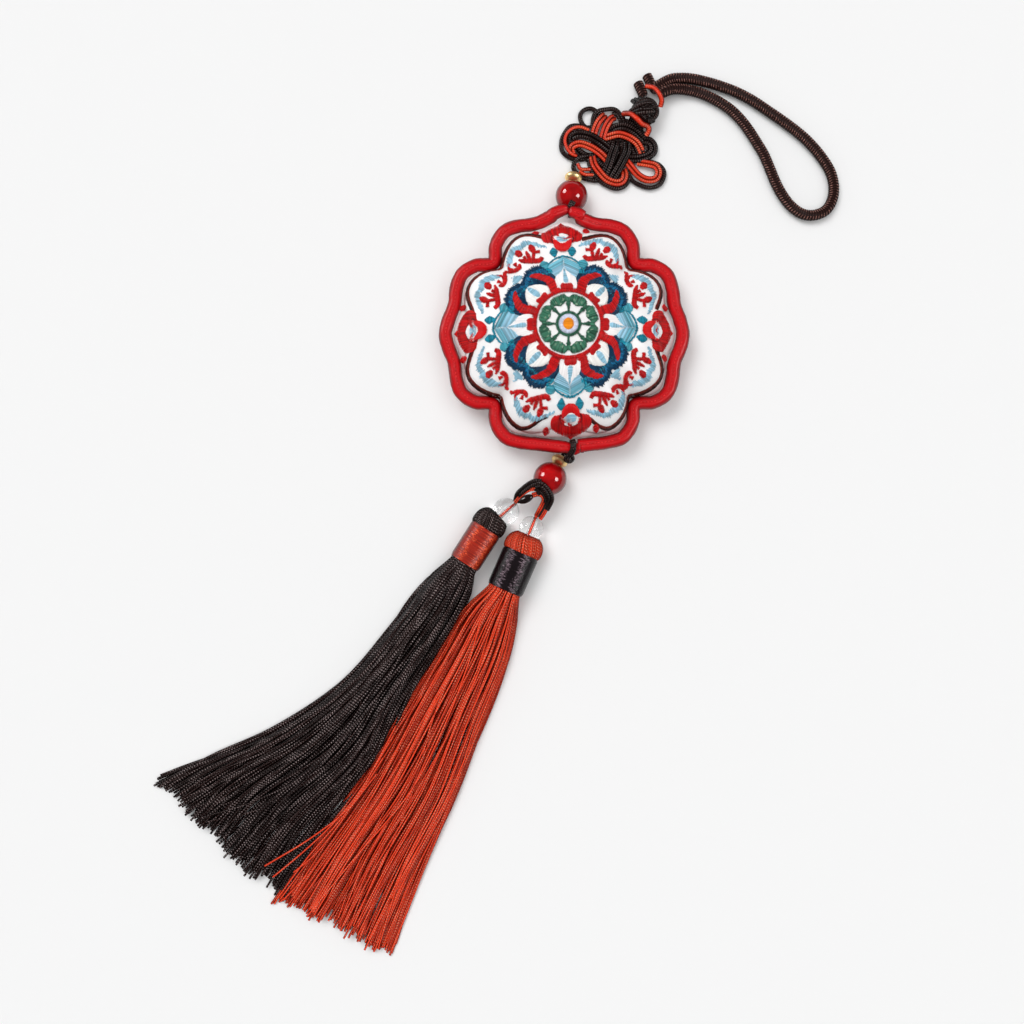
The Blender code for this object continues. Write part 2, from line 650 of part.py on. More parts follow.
def make_tassel(name, neck, way, band_width, edges, silk, group, cutters):
    """Tassel lying down: head, neck through its band, and a skirt of locks."""
    across = Vector((way.y, -way.x, 0.0))
    core_half = band_width / 2 - BAND_WALL - GAP
    core_high = BAND_HEIGHT - BAND_WALL - GAP
    head_half = band_width / 2 + HEAD_PROUD
    start = neck - way * BAND_LENGTH
    rows = (
        (-HEAD_LENGTH, 0.35, 0.30, 0.70),
        (-HEAD_LENGTH * 0.82, 0.68, 0.14, 0.88),
        (-HEAD_LENGTH * 0.50, 0.94, 0.03, 0.99),
        (-HEAD_LENGTH * 0.20, 1.00, 0.00, 1.00),
        (-GAP, 0.97, 0.01, 0.99),
    )
    rings = [section(start + way * along, across, head_half * wide, BAND_HEIGHT * low, BAND_HEIGHT * high, 12)
             for along, wide, low, high in rows]
    core_low = BAND_WALL + GAP
    rings.append(section(start - way * GAP, across, core_half, core_low, core_high, 12))
    rings.append(section(neck + way * GAP, across, core_half, core_low, core_high, 12))
    rings.append(section(neck + way * 10 * GAP, across, core_half, core_low, core_high, 12))
    parts = [loft(name + "_head", rings, silk, cutters)]
    for number in range(LOCKS):
        share = (number + 0.5) / LOCKS
        lock = []
        for (along, tall), (left, right) in zip(SKIRT_ROWS, edges):
            first, last = Vector((*left, 0.0)), Vector((*right, 0.0))
            centre = neck + way * 5 * GAP + first.lerp(last, share) * SKIRT_LENGTH
            if along == 1.0:
                centre += (centre - lock_middle).normalized() * SKIRT_LENGTH * (LOCK_ENDS[number] - 1.0)
            lock_middle = centre
            sideways = (last - first).normalized()
            half = (last - first).length * SKIRT_LENGTH / LOCKS * 0.62
            height = SKIRT_TIP_HEIGHT + (SKIRT_ROOT_HEIGHT - SKIRT_TIP_HEIGHT) * tall
            lock.append(section(centre, sideways, half, 0.0, height, 6))
        parts.append(loft(f"{name}_lock_{number + 1}", lock, silk, cutters))
    return fuse(name, parts, group)


def make_band(name, neck, way, width, silk, group):
    """Wrapped band round a tassel's neck, a flat-sided sleeve."""
    across = Vector((way.y, -way.x, 0.0))
    start = neck - way * BAND_LENGTH
    outer = [section(place, across, width / 2, 0.0, BAND_HEIGHT, 12)
             for place in (start, start.lerp(neck, 0.5), neck)]
    inner = [section(place, across, width / 2 - BAND_WALL, BAND_WALL, BAND_HEIGHT - BAND_WALL, 12)
             for place in (neck, start)]
    return loft(name, outer + inner, silk, group, closed=True)


def make_bead(name, diameter, thickness, sides, place, axis, material, group):
    """A drilled bead whose bore follows the axis."""
    profile = bead_profile(diameter, thickness, sides // 2 - 1)
    return turned(name, profile, sides, place, axis, material, group)


def bead_reach(diameter, thickness):
    """Distance from a bead's middle to its bore's mouth, along the bore."""
    return thickness / 2 * math.sqrt(1.0 - (BORE_DIAMETER / diameter) ** 2)


def beside(bead, bead_size, way):
    """Middle of the spacer that sits on a bead's mouth: way is the direction seen from above."""
    apart = bead_reach(bead_size, bead_size) + bead_reach(SPACER_DIAMETER, SPACER_THICKNESS) + GAP
    height = SPACER_DIAMETER / 2 + GAP
    drop = bead.z - height
    flat = Vector((way[0], way[1], 0.0)).normalized() * math.sqrt(apart * apart - drop * drop)
    return Vector((bead.x, bead.y, height)) + flat


def make_top_string(bead, spacer, silk, agate, gold, group):
    """Upper agate bead and spacer on their thread, and the dark tie at the pouch's tip."""
    axis = (bead - spacer).normalized()
    make_bead("top_agate_bead", TOP_AGATE, TOP_AGATE, BEAD_SIDES, bead, axis, agate, group)
    make_bead("top_spacer", SPACER_DIAMETER, SPACER_THICKNESS, SMALL_SIDES, spacer, axis, gold, group)
    to_pouch = (bead.y - TIP_RADIUS + 0.72 * RIM_DIAMETER) / -axis.y
    thread = [bead + axis * to_pouch, spacer - axis * (SPACER_THICKNESS / 2 + 2.5 * GAP)]
    cord("top_thread", smooth_route(thread, 3.0 * MM), THREAD_DIAMETER, silk, group, sides=6)
    tie = [bead + Vector(spot) * MM for spot in TOP_TIE_ROUTE]
    cord("top_tie", smooth_route(tie, 1.0 * MM), TIE_CORD, silk, group, sides=6)


def make_bottom_string(bead, spacer, silk, agate, gold, group):
    """Lower agate bead and spacer on their thread, with the knot and the tie at the lower tip."""
    axis = (bead - spacer).normalized()
    make_bead("bottom_agate_bead", BOTTOM_AGATE, BOTTOM_AGATE, BEAD_SIDES, bead, axis, agate, group)
    make_bead("bottom_spacer", SPACER_DIAMETER, SPACER_THICKNESS, SMALL_SIDES, spacer, axis, gold, group)
    knot = spacer + Vector(SMALL_KNOT_OFFSET) * MM
    mouth = spacer - axis * (SPACER_THICKNESS / 2)
    thread = [knot + Vector((0.0, 0.9, -2.0)) * MM, mouth - axis * 1.6 * MM + Vector((0.3, 0.0, 0.5)) * MM,
              mouth - axis * 0.8 * MM, mouth, spacer, bead, bead + axis * (BOTTOM_AGATE / 2 - GAP)]
    cord("bottom_thread", smooth_route(thread, 1.6 * MM), THREAD_DIAMETER, silk, group, sides=6)
    bpy.ops.mesh.primitive_uv_sphere_add(segments=10, ring_count=6, radius=1.0, location=knot)
    ball = bpy.context.object
    ball.name = "bottom_knot"
    ball.scale = Vector(SMALL_KNOT_HALVES) * MM
    move_to(ball, group)
    ball.data.materials.append(silk)
    tip = Vector((0.0, -BOTTOM_TIP_RADIUS, SEAM_HEIGHT))
    tie = [tip + Vector(spot) * MM for spot in BOTTOM_TIE_ROUTE]
    cord("bottom_tie", smooth_route(tie, 1.2 * MM), TIE_CORD, silk, group, sides=6)


def make_fork(bead, axis, glasses, silk, group, cutters):
    """Cords that fork from the lower agate bead to the two glass beads, fused where they meet."""
    mouths = {"agate": bead + axis * (BOTTOM_AGATE / 2 + 1.5 * GAP)}
    parts = []
    for side, glass in zip(("left", "right"), glasses):
        mouths[side] = glass["mouth"]
    for name, width, chart in FORK_CHART:
        route = [mouths[spot] if isinstance(spot, str) else bead + Vector(spot) * MM for spot in chart]
        if chart[0] == "agate":
            route.insert(1, route[0] + axis * MM)
        parts.append(cord(name, smooth_route(route, 2.2 * MM), FORK_CORD * width, silk, cutters, sides=6))
    for glass in glasses:
        route = [glass["mouth"] - glass["axis"] * MM, glass["far"]]
        parts.append(cord("bead_thread", smooth_route(route, 2.4 * MM), THREAD_DIAMETER, silk, cutters,
                          sides=6))
    return fuse("fork_cords", parts, group)


def build():
    """The whole sachet, from the pouch outwards to the strap and the tassels."""
    for thing in list(bpy.data.objects):
        bpy.data.objects.remove(thing)
    group = make_collection("embroidered_sachet")
    cutters = make_collection("cutters")
    white_satin = finish("white_satin", SATIN_WHITE, 0.45)
    red_satin = finish("red_satin", SATIN_RED, 0.4)
    stitching = finish("silk_stitching", STITCH_BLUE, 0.5)
    dark_cord = finish("dark_brown_cord", DARK_BROWN, 0.55)
    orange_cord = finish("orange_cord", ORANGE, 0.45)
    agate = finish("red_agate", AGATE_RED, 0.08)
    gold = finish("gold_spacer", GOLD, 0.2, 1.0)
    glass = finish("clear_glass", CLEAR_GLASS, 0.02)

    make_pouch(white_satin, group)
    make_plate(stitching, group)
    make_rim(red_satin, group)

    top_bead = Vector((TOP_BEAD_OFFSET[0], TIP_RADIUS + TOP_BEAD_OFFSET[1], TOP_AGATE / 2))
    top_spacer = beside(top_bead, TOP_AGATE, TOP_SPACER_WAY)
    knot = Vector((top_spacer.x, top_spacer.y, 0.0)) + Vector((*KNOT_OFFSET, 0.0)) * KNOT_WIDTH
    make_top_string(top_bead, top_spacer, dark_cord, agate, gold, group)
    make_knot(knot, dark_cord, group, cutters)

    ground = knot + Vector((*BUTTON_OFFSET, 0.0)) * KNOT_WIDTH
    make_button(ground + Vector((0.0, 0.0, BUTTON_HEIGHT / 2 + GAP)), dark_cord, group, cutters)
    for name, width, silk, chart in (
            ("neck_tie", TIE_CORD, orange_cord, NECK_TIE_ROUTE),
            ("strap_ring", RING_CORD, orange_cord, RING_ROUTE),
            ("strap_end_left", STRAP_CORD, dark_cord, LEFT_END_ROUTE),
            ("strap_end_right", STRAP_CORD, dark_cord, RIGHT_END_ROUTE),
            ("strap_cord", STRAP_CORD, dark_cord, STRAP_ROUTE)):
        route = smooth_route([ground + Vector(spot) * MM for spot in chart], 2.4 * width)
        cord(name, route, width, silk, group)

    bottom_spacer = Vector((BOTTOM_SPACER_OFFSET[0], BOTTOM_SPACER_OFFSET[1] - BOTTOM_TIP_RADIUS,
                            SPACER_DIAMETER / 2 + GAP))
    apart = bead_reach(BOTTOM_AGATE, BOTTOM_AGATE) + bead_reach(SPACER_DIAMETER, SPACER_THICKNESS) + GAP
    rise = BOTTOM_AGATE / 2 - bottom_spacer.z
    flat = Vector((*BOTTOM_BEAD_WAY, 0.0)).normalized() * math.sqrt(apart * apart - rise * rise)
    bottom_bead = bottom_spacer + flat + Vector((0.0, 0.0, rise))
    make_bottom_string(bottom_bead, bottom_spacer, dark_cord, agate, gold, group)

    glasses = []
    for name, size, offset, heading in GLASS_BEADS:
        middle = Vector((bottom_bead.x + offset[0] * MM, bottom_bead.y + offset[1] * MM, size / 2))
        axis = Vector(heading).normalized()
        make_bead(name, size, size, BEAD_SIDES, middle, axis, glass, group)
        glasses.append({"middle": middle, "axis": axis, "size": size,
                        "mouth": middle - axis * (size / 2 + FORK_CORD / 4), "far": middle + axis * size / 2})
    make_fork(bottom_bead, (bottom_bead - bottom_spacer).normalized(), glasses, dark_cord, group, cutters)

    for name, glass_bead, width, edges, silk, wrap in (
            ("dark_tassel", glasses[0], DARK_BAND_WIDTH, DARK_SKIRT_EDGES, dark_cord, orange_cord),
            ("orange_tassel", glasses[1], ORANGE_BAND_WIDTH, ORANGE_SKIRT_EDGES, orange_cord, dark_cord)):
        way = Vector((*TASSEL_WAYS[name], 0.0)).normalized()
        past, aside = TASSEL_OFFSETS[name]
        middle = Vector((glass_bead["middle"].x, glass_bead["middle"].y, 0.0))
        neck = middle + way * (past + HEAD_LENGTH + BAND_LENGTH) + Vector((way.y, -way.x, 0.0)) * aside
        tassel = make_tassel(name, neck, way, width, edges, silk, group, cutters)
        bpy.ops.mesh.primitive_uv_sphere_add(segments=16, ring_count=8, location=glass_bead["middle"],
                                             radius=glass_bead["size"] / 2 + GAP)
        pocket = bpy.context.object
        pocket.name = name + "_pocket"
        move_to(pocket, cutters)
        cut(tassel, pocket)
        make_band(name + "_band", neck, way, width, wrap, group)


build()
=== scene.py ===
"""Embroidered sachet with a knotted strap, agate beads and silk tassels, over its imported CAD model."""
import math
import random

import bmesh
import bpy
from bpy.props import FloatProperty, FloatVectorProperty, IntProperty, PointerProperty
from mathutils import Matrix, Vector, noise


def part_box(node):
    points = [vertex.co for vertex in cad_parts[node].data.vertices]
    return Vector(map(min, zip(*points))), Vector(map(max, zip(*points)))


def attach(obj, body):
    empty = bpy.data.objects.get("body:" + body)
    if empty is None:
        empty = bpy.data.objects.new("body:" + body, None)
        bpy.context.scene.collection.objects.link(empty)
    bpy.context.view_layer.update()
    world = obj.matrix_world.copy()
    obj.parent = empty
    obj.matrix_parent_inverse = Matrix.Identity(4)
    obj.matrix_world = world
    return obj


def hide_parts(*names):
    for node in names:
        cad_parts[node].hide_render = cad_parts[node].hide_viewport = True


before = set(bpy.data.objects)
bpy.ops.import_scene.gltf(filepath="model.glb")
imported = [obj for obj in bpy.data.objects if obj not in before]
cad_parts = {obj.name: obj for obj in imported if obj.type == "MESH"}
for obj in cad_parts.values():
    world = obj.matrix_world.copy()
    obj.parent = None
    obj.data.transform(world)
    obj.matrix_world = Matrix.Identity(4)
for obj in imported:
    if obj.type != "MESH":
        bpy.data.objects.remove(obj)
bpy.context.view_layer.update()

bl_info = {
    "name": "Embroidered sachet",
    "version": (1, 0, 0),
    "blender": (4, 5, 0),
    "location": "3D View > Sidebar > Sachet",
    "description": "Dresses the CAD model of an embroidered sachet in satin, stitching, cords and beads",
    "category": "Object",
}

MM = 0.001

# Piping round the pouch, as in the part's source: radii of its centre line and half its width, in millimetres
TIP, BOTTOM_TIP, WAIST, LOBE, NOTCH = 36.7, 34.4, 35.1, 36.7, 30.9
RIM_HALF = 2.1

# Degrees from a tip of the piping to its waist, to its lobe and to the notch
WAIST_ANGLE, LOBE_ANGLE, NOTCH_ANGLE = 15.0, 28.0, 45.0

# Heights of the pouch's seam and crown, and how far the seam rises at the top tip, in millimetres
SEAM, CROWN, TIP_RISE = 8.0, 20.0, 2.0

# Radius of the pouch's flat back, and how far its seam lies inside the piping, in millimetres
BACK_FLAT, SEAM_INSET = 22.0, 0.45

# How far the pouch's satin lies under the height that the plate is laid on, in millimetres
POUCH_DROP = 0.25

# Powers that shape the pouch's dome: how late it falls off, and how steeply it ends at the seam
DOME_FALL, DOME_END = 2.6, 0.62

# Embroidered plate: its thickness over the pouch and the width of its sloping edge, in millimetres
PLATE_LIFT, PLATE_SLOPE = 2.8, 1.7

# Radius of the plate's lobes, how much less it is in front of a tip and at a corner, and the lobes' angle
PLATE_LOBE, PLATE_TIP_DROP, PLATE_CORNER_DROP, PLATE_LOBE_ANGLE = 33.0, 5.8, 4.7, 25.0

# How far the lowest stitches stand over the satin below them, in millimetres
CLEAR = 0.1

# Rings of the pouch's back and of its side below the seam: share of the radius, and of the seam's height
BACK_RINGS = ((0.5, 0.0), (1.0, 0.0), (1.25, 0.06), (1.42, 0.2))
SIDE_RINGS = ((0.955, 0.5), (0.985, 0.8))

# How many rings the pouch's top and the plate's ground have
TOP_RINGS, PLATE_RINGS = 31, 44

# Degrees from one column of the satin's mesh to the next, all the way round
ANGLES = [1.5 * number for number in range(240)]

# Unit of the embroidery's charts, in millimetres
UNIT = 0.3

# Middles of the medallion's disc, petals and border, which lie a little apart, in millimetres
DISC_MIDDLE, PETAL_MIDDLE, BORDER_MIDDLE = (0.7, 1.2), (0.1, 0.6), (0.1, 0.2)


def linear(code, factor=1.0):
    """Linear colour from an sRGB hex value, with its brightness times a factor."""
    shares = [int(code[start:start + 2], 16) / 255 for start in (1, 3, 5)]
    light = [share / 12.92 if share <= 0.04045 else ((share + 0.055) / 1.055) ** 2.4 for share in shares]
    return [min(share * factor, 1.0) for share in light]


def add_node(tree, kind, links=None, **settings):
    """A node with its settings, its inputs set to values, sockets or other nodes' first outputs."""
    node = tree.nodes.new(kind)
    for key, value in settings.items():
        setattr(node, key, value)
    for key, source in (links or {}).items():
        if isinstance(source, bpy.types.Node):
            source = source.outputs[0]
        if isinstance(source, bpy.types.NodeSocket):
            tree.links.new(source, node.inputs[key])
        else:
            node.inputs[key].default_value = source
    return node


def new_material(name, **values):
    """A Principled material with values on the shader's own sockets."""
    paint = bpy.data.materials.new(name)
    paint.use_nodes = True
    shader = paint.node_tree.nodes["Principled BSDF"]
    for key, value in values.items():
        shader.inputs[key.replace("_", " ")].default_value = value
    return paint, paint.node_tree, shader


def rgba(colour):
    """Colour with full alpha."""
    return (*colour[:3], 1.0)


def scaled(colour, factor):
    """Colour made darker or lighter."""
    return rgba([min(share * factor, 1.0) for share in colour[:3]])


def rayon_thread(name, colour, contrast):
    """Viscose embroidery thread: silky, each thread a little lighter or darker than its neighbour."""
    paint, tree, shader = new_material(name, Roughness=0.4, Specular_IOR_Level=0.2)
    shade = add_node(tree, "ShaderNodeAttribute", attribute_name="shade").outputs["Fac"]
    mixed = add_node(tree, "ShaderNodeMix", {0: shade, 6: scaled(colour, 1.0 - contrast),
                                             7: scaled(colour, 1.0 + 0.5 * contrast)}, data_type="RGBA")
    tree.links.new(mixed.outputs[2], shader.inputs["Base Color"])
    return paint


def turned_away(tree, least, most):
    """Node that gives 0 where a surface faces the eye and 1 where it turns away, as on a thread's sides; it
    masks painted shade.
    """
    weight = add_node(tree, "ShaderNodeLayerWeight", {"Blend": 0.5})
    return add_node(tree, "ShaderNodeMapRange", {"Value": weight.outputs["Facing"], "From Min": least,
                                                 "From Max": most})


def twisted_cord(name, colour, highlight, pitch, contrast, glint, strength, gloss):
    """Twisted rayon: slanting plies in the bump, with painted highlight dots on their crowns and painted
    shade along its sides.
    """
    paint, tree, shader = new_material(name, Roughness=0.26, Specular_IOR_Level=gloss)
    flat = add_node(tree, "ShaderNodeUVMap", uv_map="UVMap")
    parts = add_node(tree, "ShaderNodeSeparateXYZ", {0: flat})
    turns = add_node(tree, "ShaderNodeMath", {0: parts.outputs["Y"], 1: 1 / pitch}, operation="MULTIPLY")
    wave = add_node(tree, "ShaderNodeMath", {0: turns, 1: parts.outputs["X"]}, operation="ADD")
    angle = add_node(tree, "ShaderNodeMath", {0: wave, 1: 2 * math.pi}, operation="MULTIPLY")
    ply = add_node(tree, "ShaderNodeMath", {0: angle}, operation="SINE")
    height = add_node(tree, "ShaderNodeMapRange", {"Value": ply, "From Min": -1.0, "From Max": 1.0})
    shade = add_node(tree, "ShaderNodeAttribute", attribute_name="shade").outputs["Fac"]
    base = add_node(tree, "ShaderNodeMix", {0: shade, 6: scaled(colour, 1.0 - contrast),
                                            7: scaled(colour, 1.0 + contrast)}, data_type="RGBA")
    # Painted highlight: dots of the highlight colour on each ply's crown, in patches along each thread
    crown = add_node(tree, "ShaderNodeMath", {0: height, 1: 7.0}, operation="POWER")
    lane = add_node(tree, "ShaderNodeCombineXYZ", {"X": shade, "Y": parts.outputs["Y"]})
    stretched = add_node(tree, "ShaderNodeMapping", {"Vector": lane, "Scale": (90.0, 130.0, 1.0)})
    patch = add_node(tree, "ShaderNodeTexNoise", {"Vector": stretched, "Scale": 1.0, "Detail": 2.0})
    lit = add_node(tree, "ShaderNodeMapRange", {"Value": patch, "From Min": 0.45, "From Max": 0.6,
                                                "To Min": 0.12 * glint, "To Max": glint})
    amount = add_node(tree, "ShaderNodeMath", {0: crown, 1: lit}, operation="MULTIPLY")
    dotted = add_node(tree, "ShaderNodeMix", {0: amount, 6: base.outputs[2],
                                              7: rgba(highlight)}, data_type="RGBA")
    # Painted shade: the thread's sides darkened where they turn away from the eye
    painted_side_shade = add_node(tree, "ShaderNodeMix", {0: turned_away(tree, 0.06, 0.45), 6: dotted.outputs[2],
                                             7: scaled(colour, 0.18)}, data_type="RGBA")
    tree.links.new(painted_side_shade.outputs[2], shader.inputs["Base Color"])
    bump = add_node(tree, "ShaderNodeBump", {"Strength": strength, "Distance": 0.2 * MM, "Height": height})
    tree.links.new(bump.outputs[0], shader.inputs["Normal"])
    return paint


# How much further along its pattern a thread starts when its shade is 1, so that threads differ, in metres
SHADE_OFFSET = 0.0317

# How much further round a tassel's streaks of light lie on a turn whose shade is 1, as a share of a turn
STREAK_SPREAD = 0.05


def satin_winding(name, colour, streak_highlight, turn, places, gloss):
    """Silk wound round a tassel: painted highlight streaks lie across its turns and break up from turn to
    turn, and painted shade darkens each turn's sides.
    """
    paint, tree, shader = new_material(name, Roughness=0.26, Specular_IOR_Level=gloss, IOR=1.6)
    shade = add_node(tree, "ShaderNodeAttribute", attribute_name="shade").outputs["Fac"]
    mixed = add_node(tree, "ShaderNodeMix", {0: shade, 6: scaled(colour, 0.6), 7: scaled(colour, 1.2)},
                     data_type="RGBA")
    flat = add_node(tree, "ShaderNodeUVMap", uv_map="UVMap")
    fine = add_node(tree, "ShaderNodeMapping", {"Vector": flat, "Scale": (2.0, 1400.0, 1.0)})
    yarn = add_node(tree, "ShaderNodeTexNoise", {"Vector": fine, "Scale": 1.0, "Detail": 2.0})
    parts = add_node(tree, "ShaderNodeSeparateXYZ", {0: flat})
    walked = add_node(tree, "ShaderNodeMath", {0: shade, 1: STREAK_SPREAD * turn - SHADE_OFFSET,
                                               2: parts.outputs["Y"]}, operation="MULTIPLY_ADD")
    # Painted highlight: streaks of a lighter colour at given places round each turn, broken up by the yarn's
    # noise
    lit = None
    for place, wide in places:
        middle = (place + STREAK_SPREAD / 2) * turn
        off = add_node(tree, "ShaderNodeMath", {0: walked, 1: middle}, operation="SUBTRACT")
        far = add_node(tree, "ShaderNodeMath", {0: off}, operation="ABSOLUTE")
        near = add_node(tree, "ShaderNodeMapRange", {"Value": far, "From Min": 0.3 * wide * MM,
                                                     "From Max": wide * MM, "To Min": 1.0, "To Max": 0.0})
        lit = add_node(tree, "ShaderNodeMath", {0: lit or 0.0, 1: near}, operation="MAXIMUM")
    broken = add_node(tree, "ShaderNodeMapRange", {"Value": yarn, "From Min": 0.38, "From Max": 0.6})
    amount = add_node(tree, "ShaderNodeMath", {0: lit, 1: broken}, operation="MULTIPLY")
    streaked = add_node(tree, "ShaderNodeMix", {0: amount, 6: mixed.outputs[2], 7: rgba(streak_highlight)},
                        data_type="RGBA")
    # Painted shade: each turn's sides darkened where they turn away from the eye
    painted_side_shade = add_node(tree, "ShaderNodeMix", {0: turned_away(tree, 0.2, 0.75), 6: streaked.outputs[2],
                                             7: scaled(colour, 0.25)}, data_type="RGBA")
    tree.links.new(painted_side_shade.outputs[2], shader.inputs["Base Color"])
    bump = add_node(tree, "ShaderNodeBump", {"Strength": 0.9, "Distance": 0.15 * MM, "Height": yarn})
    tree.links.new(bump.outputs[0], shader.inputs["Normal"])
    return paint


def link_new(name, mesh, material=None):
    """An object at the origin that shows a mesh."""
    thing = bpy.data.objects.new(name, mesh)
    bpy.context.scene.collection.objects.link(thing)
    if material:
        mesh.materials.append(material)
    return thing


def dress(piece, slot, *nodes):
    """Ride on the sachet's one body and stand for CAD nodes, which are hidden; the slot is not used."""
    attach(piece, "root")
    if nodes:
        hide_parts(*nodes)
    return piece


def finished(name, shape, material):
    """A piece with smooth shading from the faces gathered so far, all turned outwards."""
    bmesh.ops.recalc_face_normals(shape, faces=shape.faces)
    mesh = bpy.data.meshes.new(name)
    shape.to_mesh(mesh)
    shape.free()
    mesh.shade_smooth()
    return link_new(name, mesh, material)


def shell(name, rings, material):
    """Closed body through rings of points in millimetres, each end closed by a point or a face."""
    shape = bmesh.new()
    rows = [[shape.verts.new(Vector(point) * MM) for point in ring] for ring in rings]
    for low, high in zip(rows, rows[1:]):
        count = max(len(low), len(high))
        for index in range(count):
            after = (index + 1) % count
            corners = [low[index % len(low)], low[after % len(low)], high[after % len(high)],
                       high[index % len(high)]]
            shape.faces.new(list(dict.fromkeys(corners)))
    for ring in (rows[0], rows[-1]):
        if len(ring) > 2:
            shape.faces.new(ring)
    return finished(name, shape, material)


def unroll(tube, sides, lengths, stretch):
    """UV map of a tube: round it from 0 to 1, and along it in metres times a factor."""
    layer = tube.data.uv_layers.new(name="UVMap")
    for loop in tube.data.loops:
        row, side = divmod(loop.vertex_index, sides)
        layer.data[loop.index].uv = (side / sides, lengths[min(row, len(lengths) - 1)] * MM * stretch)


def neighbours(route):
    """The points before and after each point of a route, where an end is its own neighbour."""
    return zip(route[:1] + route[:-1], route[1:] + route[-1:])


def rounded_end(number, count, spacing, depth):
    """Share of a tube's width at one of its rings, where its two ends are rounded off over a depth."""
    close = min(number, count - 1 - number) * spacing
    return math.sqrt(max(1.0 - (1.0 - min(close / depth, 1.0)) ** 2, 0.0))


def smooth_route(points, spacing):
    """Points at an even spacing along a smooth curve through the given ones, in their own units."""
    spots = [Vector(point) for point in points]
    ends = [spots[0] * 2 - spots[1]] + spots + [spots[-1] * 2 - spots[-2]]
    dense = []
    for before, start, end, after in zip(ends, ends[1:], ends[2:], ends[3:]):
        for step in range(8):
            t = step / 8.0
            slope_in = (end - before) * 0.5
            slope_out = (after - start) * 0.5
            dense.append(start * (2 * t ** 3 - 3 * t ** 2 + 1) + slope_in * (t ** 3 - 2 * t ** 2 + t)
                         + end * (3 * t ** 2 - 2 * t ** 3) + slope_out * (t ** 3 - t ** 2))
    dense.append(spots[-1])
    walked = [0.0]
    for here, there in zip(dense, dense[1:]):
        walked.append(walked[-1] + (there - here).length)
    count = max(2, round(walked[-1] / spacing))
    route, index = [], 0
    for number in range(count + 1):
        goal = walked[-1] * number / count
        while index < len(walked) - 2 and walked[index + 1] < goal:
            index += 1
        share = (goal - walked[index]) / max(walked[index + 1] - walked[index], 1e-9)
        route.append(dense[index].lerp(dense[index + 1], min(share, 1.0)))
    return route


def threads_tree():
    """Geometry Nodes tree that lays a round thread along every guide line."""
    known = bpy.data.node_groups.get("laid_threads")
    if known:
        return known
    tree = bpy.data.node_groups.new("laid_threads", "GeometryNodeTree")
    tree.is_modifier = True
    for name, kind in (("Guides", "NodeSocketGeometry"), ("Thread radius", "NodeSocketFloat"),
                       ("Sides", "NodeSocketInt"), ("Thread material", "NodeSocketMaterial")):
        tree.interface.new_socket(name, in_out="INPUT", socket_type=kind)
    tree.interface.new_socket("Threads", in_out="OUTPUT", socket_type="NodeSocketGeometry")
    given = add_node(tree, "NodeGroupInput").outputs
    lines = add_node(tree, "GeometryNodeMeshToCurve", {"Mesh": given["Guides"]})
    place = add_node(tree, "GeometryNodeSplineParameter")
    start = add_node(tree, "GeometryNodeInputNamedAttribute", {"Name": "shade"})
    begun = add_node(tree, "ShaderNodeMath", {0: start, 1: SHADE_OFFSET,
                                              2: place.outputs["Length"]}, operation="MULTIPLY_ADD")
    along = add_node(tree, "GeometryNodeStoreNamedAttribute", {"Geometry": lines, "Name": "along",
                                                               "Value": begun})
    ring = add_node(tree, "GeometryNodeCurvePrimitiveCircle", {"Resolution": given["Sides"], "Radius": 1.0})
    around = add_node(tree, "GeometryNodeStoreNamedAttribute", {"Geometry": ring, "Name": "around",
                                                                "Value": place.outputs["Factor"]})
    width = add_node(tree, "GeometryNodeInputNamedAttribute", {"Name": "width"})
    size = add_node(tree, "ShaderNodeMath", {0: width, 1: given["Thread radius"]}, operation="MULTIPLY")
    tube = add_node(tree, "GeometryNodeCurveToMesh", {"Curve": along, "Profile Curve": around,
                                                      "Scale": size, "Fill Caps": True})
    kept_around = add_node(tree, "GeometryNodeInputNamedAttribute", {"Name": "around"})
    kept_along = add_node(tree, "GeometryNodeInputNamedAttribute", {"Name": "along"})
    flat = add_node(tree, "ShaderNodeCombineXYZ", {"X": kept_around, "Y": kept_along})
    mapped = add_node(tree, "GeometryNodeStoreNamedAttribute", data_type="FLOAT2", domain="CORNER")
    tree.links.new(tube.outputs[0], mapped.inputs["Geometry"])
    mapped.inputs["Name"].default_value = "UVMap"
    tree.links.new(flat.outputs[0], mapped.inputs["Value"])
    soft = add_node(tree, "GeometryNodeSetShadeSmooth", {"Geometry": mapped})
    whole = add_node(tree, "GeometryNodeRealizeInstances", {"Geometry": soft})
    painted = add_node(tree, "GeometryNodeSetMaterial", {"Geometry": whole,
                                                         "Material": given["Thread material"]})
    add_node(tree, "NodeGroupOutput", {"Threads": painted})
    return tree


